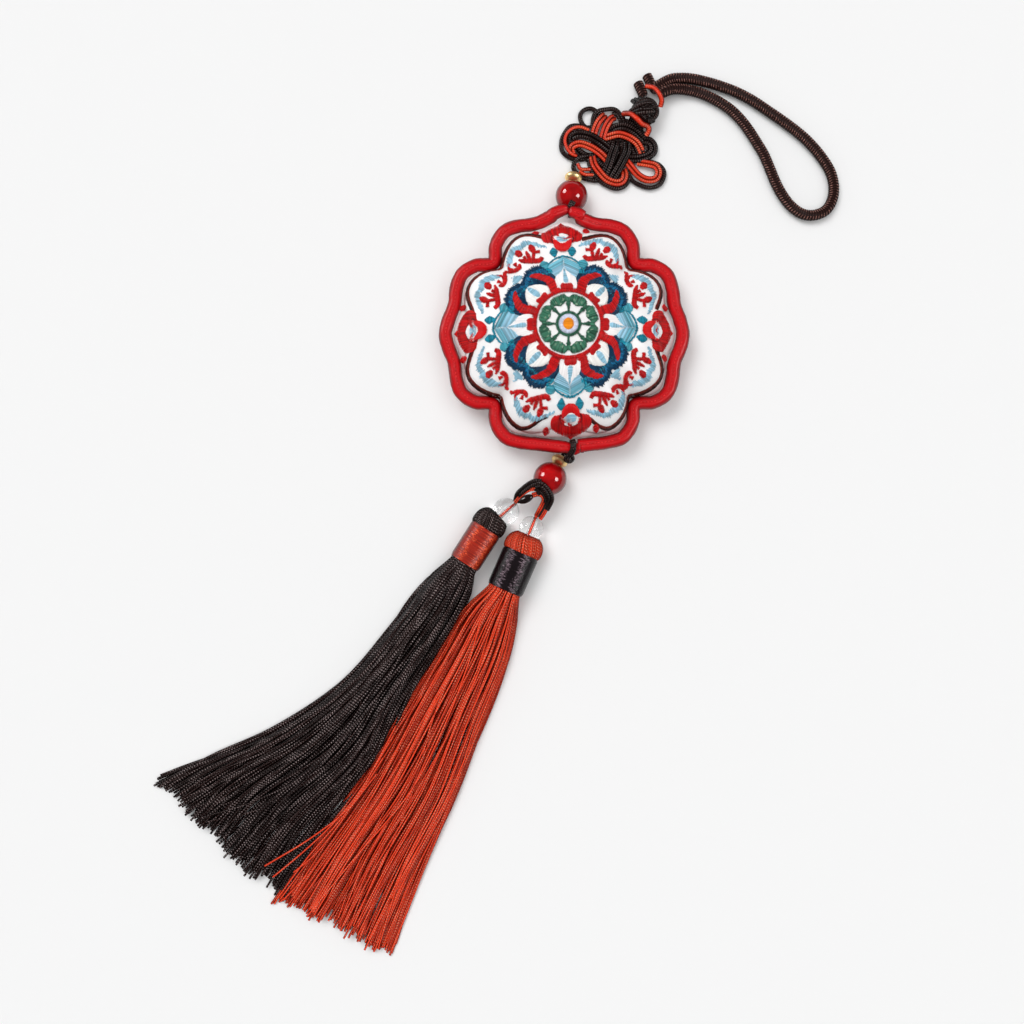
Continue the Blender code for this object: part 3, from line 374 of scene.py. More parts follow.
def wind(name, lines, radius, sides, material):
    """Round threads from lines of points in millimetres, a shade from 0 to 1 and widths in shares or None."""
    guide = bpy.data.meshes.new(name + "_guide")
    places, edges, widths, shades = [], [], [], []
    for points, shade, shares in lines:
        first = len(places)
        places.extend((point[0] * MM, point[1] * MM, point[2] * MM) for point in points)
        edges.extend((number, number + 1) for number in range(first, len(places) - 1))
        widths.extend(shares or [1.0] * len(points))
        shades.extend([shade] * len(points))
    guide.from_pydata(places, edges, [])
    for key, values in (("width", widths), ("shade", shades)):
        guide.attributes.new(key, "FLOAT", "POINT").data.foreach_set("value", values)
    holder = link_new(name + "_guide", guide)
    modifier = holder.modifiers.new("threads", "NODES")
    tree = threads_tree()
    sockets = {item.name: item.identifier for item in tree.interface.items_tree if item.in_out == "INPUT"}
    modifier.node_group = tree
    modifier[sockets["Thread radius"]] = radius * MM
    modifier[sockets["Sides"]] = sides
    modifier[sockets["Thread material"]] = material
    bpy.context.view_layer.update()
    mesh = bpy.data.meshes.new_from_object(holder.evaluated_get(bpy.context.evaluated_depsgraph_get()))
    mesh.name = name
    for key in ("width", "along", "around"):
        if key in mesh.attributes:
            mesh.attributes.remove(mesh.attributes[key])
    bpy.data.objects.remove(holder)
    bpy.data.meshes.remove(guide)
    return link_new(name, mesh)


def ease(share):
    """Smooth step from 0 to 1."""
    share = min(max(share, 0.0), 1.0)
    return share * share * (3.0 - 2.0 * share)


def round_middle(radius, angle):
    """Point at a radius and an angle in degrees round the pouch's middle."""
    return radius * math.cos(math.radians(angle)), radius * math.sin(math.radians(angle))


def off_tip(angle):
    """Degrees between a direction and the nearest of the four tips."""
    turn = angle % 90.0
    return min(turn, 90.0 - turn)


def rim_radius(angle):
    """Radius of the piping's centre line."""
    off = off_tip(angle)
    if off <= WAIST_ANGLE:
        tip = BOTTOM_TIP if 225.0 < angle % 360.0 < 315.0 else TIP
        return tip + (WAIST - tip) * ease(off / WAIST_ANGLE)
    if off <= LOBE_ANGLE:
        return WAIST + (LOBE - WAIST) * ease((off - WAIST_ANGLE) / (LOBE_ANGLE - WAIST_ANGLE))
    share = math.pi / 2 * (off - LOBE_ANGLE) / (NOTCH_ANGLE - LOBE_ANGLE)
    return LOBE - (LOBE - NOTCH) * (1.0 - math.cos(share))


def plate_radius(angle):
    """Radius of the embroidered plate's lower edge."""
    off = off_tip(angle)
    if off <= PLATE_LOBE_ANGLE:
        turn = math.pi / 2 * (1.0 - off / PLATE_LOBE_ANGLE)
        return PLATE_LOBE - PLATE_TIP_DROP * (1.0 - math.cos(turn))
    turn = math.pi / 2 * (off - PLATE_LOBE_ANGLE) / (NOTCH_ANGLE - PLATE_LOBE_ANGLE)
    return PLATE_LOBE - PLATE_CORNER_DROP * (1.0 - math.cos(turn))


def slope_of(radius_at, angle):
    """How far an outline leans from a circle at an angle, in radians."""
    rise = radius_at(angle + 1.0) - radius_at(angle - 1.0)
    return math.atan(rise / (2.0 * math.radians(1.0) * radius_at(angle)))


def tip_lift(angle):
    """How far the seam rises at the top tip, where the piping's ends lie over the agate bead."""
    away = abs((angle - 90.0 + 180.0) % 360.0 - 180.0)
    return TIP_RISE * (1.0 - ease(away / 22.0))


def seam_radius(angle):
    """Radius of the pouch's seam, inside the piping by a distance measured square to it."""
    return rim_radius(angle) - (RIM_HALF + SEAM_INSET) / math.cos(slope_of(rim_radius, angle))


def ring_radius(share, angle):
    """Radius of one of the pouch's rings: lobed at the seam and round in the middle."""
    lobing = ease((share - 0.1) / 0.85)
    return share * (lobing * seam_radius(angle) + (1.0 - lobing) * ((LOBE + NOTCH) / 2 - RIM_HALF))


def pouch_top(x, y):
    """Height of the pouch's domed top."""
    radius, angle = math.hypot(x, y), math.degrees(math.atan2(y, x))
    share = radius / seam_radius(angle)
    for _ in range(3):
        share = min(share * radius / max(ring_radius(share, angle), 1e-6), 1.0) if share > 0.02 else share
    seam = SEAM + tip_lift(angle) * share * share
    return seam + (CROWN - seam) * (1.0 - share ** DOME_FALL) ** DOME_END


def face_height(x, y):
    """Height of the embroidered face: the plate's top, its slope, and the pouch beyond it."""
    radius, angle = math.hypot(x, y), math.degrees(math.atan2(y, x))
    depth = (plate_radius(angle) - radius) * math.cos(slope_of(plate_radius, angle))
    if depth <= 0.0:
        return pouch_top(x, y) + CLEAR
    rise = math.sin(math.pi / 2 * min(depth / PLATE_SLOPE, 1.0)) ** 0.8
    return pouch_top(x, y) + CLEAR + (PLATE_LIFT - CLEAR) * rise


def white_satin(name, weave):
    """Glossy white polyester satin: soft broad gloss, fine float threads and faint puckers."""
    paint, tree, shader = new_material(name, Roughness=0.42, Specular_IOR_Level=0.4)
    spot = add_node(tree, "ShaderNodeTexCoord").outputs["Object"]
    blot = add_node(tree, "ShaderNodeTexNoise", {"Vector": spot, "Scale": 180.0, "Detail": 3.0})
    mixed = add_node(tree, "ShaderNodeMix", {0: blot, 6: rgba(linear("#f4f0f0")),
                                             7: rgba(linear("#ffffff"))}, data_type="RGBA")
    tree.links.new(mixed.outputs[2], shader.inputs["Base Color"])
    turn = add_node(tree, "ShaderNodeMapping", {"Vector": spot, "Rotation": (0, 0, math.radians(38)),
                                                "Scale": (1 / (weave * MM), 0.12 / (weave * MM), 1.0)})
    floats = add_node(tree, "ShaderNodeTexNoise", {"Vector": turn, "Scale": 1.0, "Detail": 2.0})
    bump = add_node(tree, "ShaderNodeBump", {"Strength": 0.35, "Distance": 0.12 * MM, "Height": floats})
    tree.links.new(bump.outputs[0], shader.inputs["Normal"])
    return paint


def red_satin():
    """Red satin piping: silky floats along the tube, with painted shade darkening it where it turns away from
    the eye.
    """
    paint, tree, shader = new_material("red_satin_piping", Roughness=0.3, Specular_IOR_Level=0.25)
    flat = add_node(tree, "ShaderNodeUVMap", uv_map="UVMap")
    lengthwise = add_node(tree, "ShaderNodeMapping", {"Vector": flat, "Scale": (60.0, 700.0, 1.0)})
    floats = add_node(tree, "ShaderNodeTexNoise", {"Vector": lengthwise, "Scale": 1.0, "Detail": 3.0})
    silk = add_node(tree, "ShaderNodeMix", {0: floats, 6: rgba(linear("#a8030b")),
                                            7: rgba(linear("#e60a16"))}, data_type="RGBA")
    # Painted shade: deep red where the tube turns away from the eye
    painted_side_shade = add_node(tree, "ShaderNodeMix", {0: turned_away(tree, 0.1, 0.7), 6: silk.outputs[2],
                                             7: rgba(linear("#5e0207"))}, data_type="RGBA")
    tree.links.new(painted_side_shade.outputs[2], shader.inputs["Base Color"])
    bump = add_node(tree, "ShaderNodeBump", {"Strength": 0.4, "Distance": 0.15 * MM, "Height": floats})
    tree.links.new(bump.outputs[0], shader.inputs["Normal"])
    return paint


def make_pouch():
    """Stuffed satin pouch, its margin puckered by the seam."""
    rings = [[(0.0, 0.0, 0.0)]]
    for reach, rise in BACK_RINGS:
        rings.append([(*round_middle(BACK_FLAT * reach * (0.6 + 0.4 * ring_radius(1.0, angle) / 31.0), angle),
                       SEAM * rise) for angle in ANGLES])
    for reach, rise in SIDE_RINGS:
        rings.append([(*round_middle(seam_radius(angle) * reach, angle), (SEAM + tip_lift(angle)) * rise)
                      for angle in ANGLES])
    for step in range(TOP_RINGS):
        share = 1.0 - (step / TOP_RINGS) ** 1.5
        ring = []
        for angle in ANGLES:
            x, y = round_middle(ring_radius(share, angle), angle)
            pucker = noise.noise(Vector((angle * 0.35, share * 2.0, 3.0))) * 0.5 * ease((share - 0.7) / 0.2)
            ring.append((x, y, pouch_top(x, y) - POUCH_DROP + pucker * ease((1.0 - share) / 0.03)))
        rings.append(ring)
    rings.append([(0.0, 0.0, CROWN - POUCH_DROP)])
    pouch = shell("satin_pouch", rings, white_satin("white_satin_pouch", 0.35))
    dress(pouch, "white_satin", "pouch")


def make_patch():
    """White satin ground of the embroidered plate, padded from below."""
    rings = [[(0.0, 0.0, CROWN + PLATE_LIFT)]]
    under = [[(0.0, 0.0, CROWN + CLEAR / 2)]]
    for step in range(1, PLATE_RINGS + 1):
        depth = 1.0 - step / PLATE_RINGS
        ring, low = [], []
        for angle in ANGLES:
            x, y = round_middle((1.0 - depth) * plate_radius(angle), angle)
            soft = noise.noise(Vector((x * 0.5, y * 0.5, 1.0))) * 0.16
            ring.append((x, y, face_height(x, y) + soft * ease(depth / 0.1)))
            low.append((x, y, pouch_top(x, y) + CLEAR / 2))
        rings.append(ring)
        under.append(low)
    patch = shell("satin_patch", rings + under[-2::-6] + [under[0]], white_satin("white_satin_ground", 0.3))
    dress(patch, "silk_stitching", "embroidered_patch")


# Where the lengthwise fold runs round the piping's tube, its half width there, and its depth in millimetres
FOLD, FOLD_WIDTH, FOLD_DEPTH = math.radians(86), 0.2, 0.3

# Length and depth of the small pleats along the fold, in millimetres
PLEAT_LENGTH, PLEAT_DEPTH = 1.1, 0.05

# Distance between the piping's rings in millimetres, and how many points each ring has
RIM_SPACING, RIM_SIDES = 0.55, 30

# Halves of the piping: way round, then points beside the top and bottom tips with shares of the width there
RIM_HALVES = (
    ("left", 1, ((1.5, 1.6, 0.7), (-1.0, 1.0, 0.9), (-3.4, 0.0, 1.0)),
     ((-2.2, -0.3, 1.0), (0.4, -0.5, 1.0), (2.7, -1.2, 0.75))),
    ("right", -1, ((0.9, 1.0, 0.7), (3.0, 0.4, 0.9), (5.2, -0.5, 1.0)),
     ((5.8, -0.3, 1.0), (4.2, -0.9, 0.9), (2.5, -2.9, 0.35))),
)


def rim_line(turn, top_end, bottom_end):
    """Centre line of one half of the piping, with the share of its width at each point."""
    points = [(x, TIP + y, SEAM + TIP_RISE, share) for x, y, share in top_end]
    for number in range(1, 24):
        angle = 90.0 + turn * 7.5 * number
        points.append((*round_middle(rim_radius(angle), angle), SEAM + tip_lift(angle), 1.0))
    points += [(x, y - BOTTOM_TIP, SEAM, share) for x, y, share in bottom_end]
    route = smooth_route([point[:3] for point in points], RIM_SPACING)
    shares = [min(points, key=lambda point: (Vector(point[:3]) - spot).length)[3] for spot in route]
    for _ in range(14):
        middle = [(before + after) / 2 for before, after in zip(shares, shares[2:])]
        shares = [shares[0]] + middle + [shares[-1]]
    return route, shares


def make_rims():
    """Two halves of red satin piping with their lengthwise fold, and the small stitches along it."""
    satin = red_satin()
    stitches = []
    for name, turn, top_end, bottom_end in RIM_HALVES:
        route, shares = rim_line(turn, top_end, bottom_end)
        rings, lengths, fold, walked = [], [], [], 0.0
        for number, (spot, share, (before, after)) in enumerate(zip(route, shares, neighbours(route))):
            walked += (spot - before).length
            lengths.append(walked)
            way = (after - before).normalized()
            out = Vector((way.y, -way.x, 0.0)).normalized() * -turn
            up = out.cross(way).normalized()
            up = up if up.z > 0 else -up
            cap = rounded_end(number, len(route), RIM_SPACING, RIM_HALF * share * 0.8)
            pleat = math.cos(walked * 2 * math.pi / PLEAT_LENGTH) * PLEAT_DEPTH
            ring = []
            for side in range(RIM_SIDES):
                phi = 2 * math.pi * side / RIM_SIDES
                crease = math.exp(-((phi - FOLD) / FOLD_WIDTH) ** 2) * FOLD_DEPTH
                round_tube = (math.cos(phi) * 1.3, math.sin(phi) * 1.3 + turn)
                wave = noise.noise(Vector((walked * 0.35, *round_tube))) * 0.16
                fine = noise.noise(Vector((walked * 1.6, phi * 1.5, 5.0))) * 0.07
                pinch = pleat * math.exp(-((phi - FOLD) / 0.5) ** 2)
                radius = (RIM_HALF * share - crease + wave + fine + pinch) * max(cap, 0.03)
                ring.append(spot + out * radius * math.cos(phi) + up * radius * math.sin(phi))
            rings.append(ring)
            fold.append(spot + (out * math.cos(FOLD) + up * math.sin(FOLD)) * (RIM_HALF * share * cap - 0.16))
        piping = shell("piping_" + name, rings, satin)
        unroll(piping, RIM_SIDES, lengths, 8)
        dress(piping, "red_satin", "rim_" + name)
        for start, end in zip(fold[4:-5:2], fold[5::2]):
            middle = (start + end) / 2 + Vector((0.0, 0.0, 0.1))
            stitches.append(([start, middle, end], random.random(), None))
    thread = rayon_thread("bright_red_sewing_thread", linear("#e2282a"), 0.3)
    dress(wind("piping_stitches", stitches, 0.15, 6, thread), "red_satin")


def polar(radius, angle):
    """Point of the embroidery in millimetres, from a radius in chart units and an angle in degrees."""
    inner, outer = ease((60.0 - radius) / 26.0), ease((radius - 66.0) / 14.0)
    turn = math.radians(angle)
    x, y = (petal + (disc - petal) * inner + (border - petal) * outer
            for petal, disc, border in zip(PETAL_MIDDLE, DISC_MIDDLE, BORDER_MIDDLE))
    return x + radius * UNIT * math.cos(turn), y + radius * UNIT * math.sin(turn)


# Shortest stitch that is sewn, in millimetres, and how wide a stitch is where it enters the cloth, as a share
SHORTEST_STITCH, STITCH_END = 0.22, 0.6


def rails_between(first, second):
    """Two rails with the same number of points, from two lists of (radius, angle) pairs."""
    one, two = [], []
    for (a, b), (c, d) in zip(zip(first, first[1:]), zip(second, second[1:])):
        pieces = max(1, math.ceil(max(abs(b[1] - a[1]), abs(d[1] - c[1])) / 4.0))
        for piece in range(pieces):
            share = piece / pieces
            one.append(polar(a[0] + (b[0] - a[0]) * share, a[1] + (b[1] - a[1]) * share))
            two.append(polar(c[0] + (d[0] - c[0]) * share, c[1] + (d[1] - c[1]) * share))
    one.append(polar(*first[-1]))
    two.append(polar(*second[-1]))
    return one, two


def satin(lines, rails, lift, spacing, jitter, tone=None):
    """Satin stitches side by side from one rail to the other, added to the lines of a thread colour."""
    one, two = rails
    walked = [0.0]
    for index in range(len(one) - 1):
        step = max(math.dist(one[index], one[index + 1]), math.dist(two[index], two[index + 1]))
        walked.append(walked[-1] + step)
    count = max(1, round(walked[-1] / spacing))
    index = 0
    for number in range(count):
        goal = walked[-1] * (number + 0.5) / count
        while index < len(walked) - 2 and walked[index + 1] < goal:
            index += 1
        share = (goal - walked[index]) / max(walked[index + 1] - walked[index], 1e-6)
        start, end = (Vector(rail[index]).lerp(Vector(rail[index + 1]), share) for rail in (one, two))
        length = (end - start).length
        if length < SHORTEST_STITCH:
            continue
        before, beyond = (random.uniform(-jitter, jitter) / length for _ in range(2))
        steps = 3 if length < 1.2 else 4 if length < 3.0 else 6
        bulge = min(0.3, 0.16 * length)
        points = []
        for piece in range(steps + 1):
            x, y = start.lerp(end, -before + (1.0 + before + beyond) * piece / steps)
            swell = math.sin(math.pi * piece / steps) ** 0.7 if 0 < piece < steps else -0.35
            points.append((x, y, face_height(x, y) + lift + bulge * swell))
        shade = random.random() if tone is None else min(max(tone + random.uniform(-0.25, 0.25), 0.0), 1.0)
        middle = [random.uniform(0.85, 1.1)] * (steps - 1)
        lines.append((points, shade, [STITCH_END] + middle + [STITCH_END]))


def mirrored(table):
    """Rows of (angle, ...) given for one side, laid out over both."""
    return [(-row[0], *row[1:]) for row in reversed(table) if row[0]] + list(table)


def moved(table, inner, outer):
    """Rows of (angle, inner and outer radius) with each of the two radii moved outwards."""
    return [(angle, low + inner, high + outer) for angle, low, high in table]


# Charts of the medallion in its units: rows of (angle off the axis, inner radius, outer radius) are filled
# with stitches that run outwards, and rows of (radius, half angle) with stitches that run across. The fans'
# two charts are rows of (radius at the side, angle, radius on the axis).
FAN_EDGE = [(0, 69.8, 72), (3, 69.3, 71.4), (7, 67.8, 69.8), (11, 65.6, 67.4), (14, 63.2, 65), (16.4, 60, 62)]
FAN_ARCS = [(46, 14.5, 49), (51, 15.4, 56), (57, 16.2, 63)]
FAN_BORDER = [(57, 16.2, 63), (61, 16, 67.4), (63.4, 14.6, 70)]
PETAL = [(0, 36, 59), (2, 36, 57.6), (4.5, 36, 56), (8.5, 36, 53.6), (11, 36, 51.2), (12.8, 36, 48.6),
         (14, 36, 45), (15, 36, 40)]
TEARDROP = [(41.5, 2.2), (43, 4.3), (44.5, 4.8), (47, 4), (49.5, 3.1), (52, 2), (55, 1.2), (58, 0.4)]
CROWN_LEAF = [(0, 34, 41.2), (3, 34, 41.8), (5.5, 34, 42.2), (7.5, 34, 41.2), (9.2, 34.5, 39.2)]
SQUARE = [(60.5, 1), (62.2, 4.2), (65, 4.8), (67.6, 3.6), (69.4, 1)]
DIAMOND = [(71, 0.5), (74, 2.2), (77.3, 3.3), (80, 2.1), (82, 0.5)]
LOTUS = [(0, 79.5, 108.6), (2.5, 80.8, 107.6), (4.4, 83.2, 106.6), (5.7, 85.6, 105.8), (7.5, 87.4, 104.6),
         (9.4, 88.2, 103.2), (10.8, 89, 101.8), (11.8, 90.5, 100), (12.3, 93, 97.5)]
LOTUS_TIP = [(107.6, 1.8), (109, 0.9), (110.4, 0.2)]
OVAL = [(85.8, 3.6), (87.8, 5.8), (90.6, 6.8), (93.6, 6.3), (96.4, 4.4), (98, 1)]
OVAL_BLUE = [(87.4, 3), (89.4, 4.6), (92, 4.3), (94.2, 2.4)]
OVAL_NOTCH = [(91, 0.6), (93.6, 1.2), (95.6, 0.7)]
BOWL = [(0, 76.4, 86.4), (1.8, 76.8, 87.4), (3.4, 78, 89.6), (4.8, 80.2, 91), (5.9, 83.4, 90.4)]
SIDE_LEAF = [(101, 0.5), (103, 1.7), (105.4, 2), (107.4, 1.2), (108.8, 0.3)]
HEART = [(0, 54, 63.4), (3, 53, 65.4), (6, 51, 67), (10, 48, 68.4), (14, 46, 69), (18, 44, 68.6),
         (22, 42.5, 66.6), (26, 41, 63.6), (29, 41, 60.8), (31.5, 41, 58), (33, 42, 54.5), (34, 44, 50)]
HAZE = [(66, 5), (68, 5.2), (70, 3.6), (72, 1.5), (75, 0.5)]
CREAM_PETAL = [(0, 35, 56.8), (3.2, 35, 55.4), (7, 35, 53.2), (11, 35, 50.2), (14, 36, 47.2),
               (16, 37.5, 44.6), (17, 39, 42)]
CREAM_DROP = [(39.6, 1.5), (41.5, 4.4), (44, 5.8), (47, 5.1), (50.3, 3.6), (52.5, 2), (54.5, 0.6)]
CREAM_CROWN = [(0, 33.5, 39), (4, 33.5, 39.8), (7, 33.5, 40.8), (9.7, 35, 39)]
CRESCENT_INNER = [(34, 17), (36.5, 16.9), (39.8, 17.2), (43.2, 18.1), (46.2, 18.6), (48.9, 17.4),
                  (52.4, 14.6), (55.6, 12.2), (59, 10), (61.4, 8.6)]
CRESCENT_OUTER = [(34, 33.5), (36.9, 32.5), (41, 31.6), (45.2, 31.3), (48.3, 30.6), (52, 28), (54.6, 25),
                  (57.6, 21.3), (60.7, 17), (62.3, 12)]
SPOKE = [(12.6, 5), (15, 4.2), (17.5, 4.8), (20, 7), (22, 4)]
GREEN_LOBE = [(0, 18, 27.6), (5, 18.6, 28), (10, 19.3, 28), (14, 20.4, 27.6), (17, 20.8, 26.4),
              (19.5, 20.2, 25), (22.5, 19.4, 24.2)]
CLOUD = [(11, 83.5, 86), (15, 86, 90.5), (18, 88.5, 94.5), (21, 91, 98), (24, 93.5, 99), (26, 91.5, 97),
         (28, 92, 98.8), (31, 91.5, 99.2), (34, 89, 97.6), (37, 86, 93.6), (40, 83.5, 88.8)]

# Scrolls between the lotuses: half widths along each, and its spine as (angle off the axis, radius)
SCROLLS = (
    ((1.5, 2.0, 2.2, 2.2, 1.8, 0.6),
     ((16.1, 77.2), (18.8, 74.4), (21.9, 75.6), (25.9, 78.8), (30, 82.5), (32.2, 86.6))),
    ((0.8, 1.8, 1.8, 1.8, 1.6, 1.2, 1.0),
     ((33.4, 82.5), (34.4, 79.9), (36.6, 79), (39.1, 80.3), (41.9, 83.5), (43.9, 87.2), (45, 85))),
    ((1.6, 0.8), ((35.6, 86.4), (36.3, 82))),
    ((1.0, 1.0, 1.0), ((38.4, 90.3), (40.6, 86.6), (39.4, 82.5))),
    ((1.3, 1.4, 1.4), ((23.1, 78.3), (21.9, 82), (20.3, 86))),
    ((1.6, 2.6, 2.4, 1.0), ((20.3, 86), (20.5, 89), (20.6, 92), (20.6, 95))),
    ((1.2, 1.3, 1.6), ((21, 85.5), (18.1, 85), (16.2, 84.2))),
    ((1.6, 1.5, 0.5), ((25.3, 80), (25, 86), (25, 90.3))),
    ((1.2, 1.3), ((27.8, 82.5), (28.1, 86.5))),
    ((1.2, 2.6, 2.6, 0.9), ((28.6, 88), (29.6, 91), (30, 94), (30, 96))),
)

# How far in from their chart the scrolls are sewn, and how much heavier than in it
SCROLL_DROP, SCROLL_WEIGHT = 2.5, 1.25

# Directions of the four fans and lotuses, and how much further out than their charts each of them lies
AXES = ((-0.7, 0.0), (92.4, 0.0), (180.8, 2.8), (273.3, -1.0))

# Directions of the four hearts between the fans
HEART_AXES = (45.5, 135.7, 225.3, 316.5)

# Embroidery threads: colour and how much one stitch differs from the next
THREAD_COLOURS = {
    "navy": ("#0b3a5a", 0.6), "sea_blue": ("#156f9c", 0.55), "light_blue": ("#9ccbe0", 0.35),
    "teal": ("#1b8fa8", 0.5), "pale_teal": ("#4fabbd", 0.5), "aqua": ("#78bdd0", 0.5),
    "red": ("#cc1014", 0.4), "dark_red": ("#7e0c14", 0.4), "white": ("#fbf6f6", 0.1),
    "cream": ("#fcf8f5", 0.1), "lavender": ("#d9def2", 0.2), "green": ("#3f7a60", 0.65),
    "sage": ("#84a68c", 0.3), "orange": ("#ff9a20", 0.2), "brown": ("#64190f", 0.9),
}

# How much further in the edge's line lies at the upper right, and beside each lotus, in millimetres
EDGE_SHIFT, EDGE_DIPS = 0.7, (1.8, 1.3, 1.6, 3.4)

# Rows of stem stitch down the plate's slope: how far in each lies, in millimetres, and its tone up to rust,
# where the near black rows at the plate's foot are partly painted shadow
EDGE_ROWS = ((0.1, 0.0), (0.32, 0.05), (0.54, 0.2), (0.76, 0.6), (0.98, 0.95))

# Widths along one stem stitch, and the degrees that it covers between two points and to the next stitch
STEM_WIDTHS, STEM_STEP, STEM_ADVANCE = [1.2 * share for share in (0.6, 1.0, 1.1, 1.0, 0.6)], 1.1, 3.4


def stroke(spine, halves):
    """Two rails beside a spine of (angle, radius) points, with its half widths in chart units."""
    line = [polar(radius, angle) for angle, radius in spine]
    route = smooth_route([(*point, half * UNIT) for point, half in zip(line, halves)], 0.5)
    one, two = [], []
    for here, (before, after) in zip(route, neighbours(route)):
        way = Vector((after.x - before.x, after.y - before.y)).normalized()
        side = Vector((-way.y, way.x)) * here.z
        one.append((here.x + side.x, here.y + side.y))
        two.append((here.x - side.x, here.y - side.y))
    return one, two


def edge_stitches(lines):
    """Stem stitches down the plate's slope, in rows from black to rust, left out in front of the lotuses; the
    black at the foot is partly painted shadow.
    """
    for depth, tone in EDGE_ROWS:
        start = 0.0
        while start < 360.0:
            points = []
            for piece in range(5):
                here = start + piece * STEM_STEP
                x, y = round_middle(plate_radius(here), here)
                dip = EDGE_DIPS[round(here / 90.0) % 4] * ease((26.0 - off_tip(here)) / 16.0)
                away = depth + dip + EDGE_SHIFT * max(math.cos(math.radians(here - 60.0)), 0.0)
                square = math.radians(here) - slope_of(plate_radius, here)
                x, y = x - away * math.cos(square), y - away * math.sin(square)
                points.append((x, y, face_height(x, y) + (0.2 if 0 < piece < 4 else 0.0)))
            if off_tip(start + 2 * STEM_STEP) > 9.0:
                shade = min(max(tone + random.uniform(-0.3, 0.3), 0.0), 1.0)
                lines.append((points, shade, STEM_WIDTHS))
            start += STEM_ADVANCE


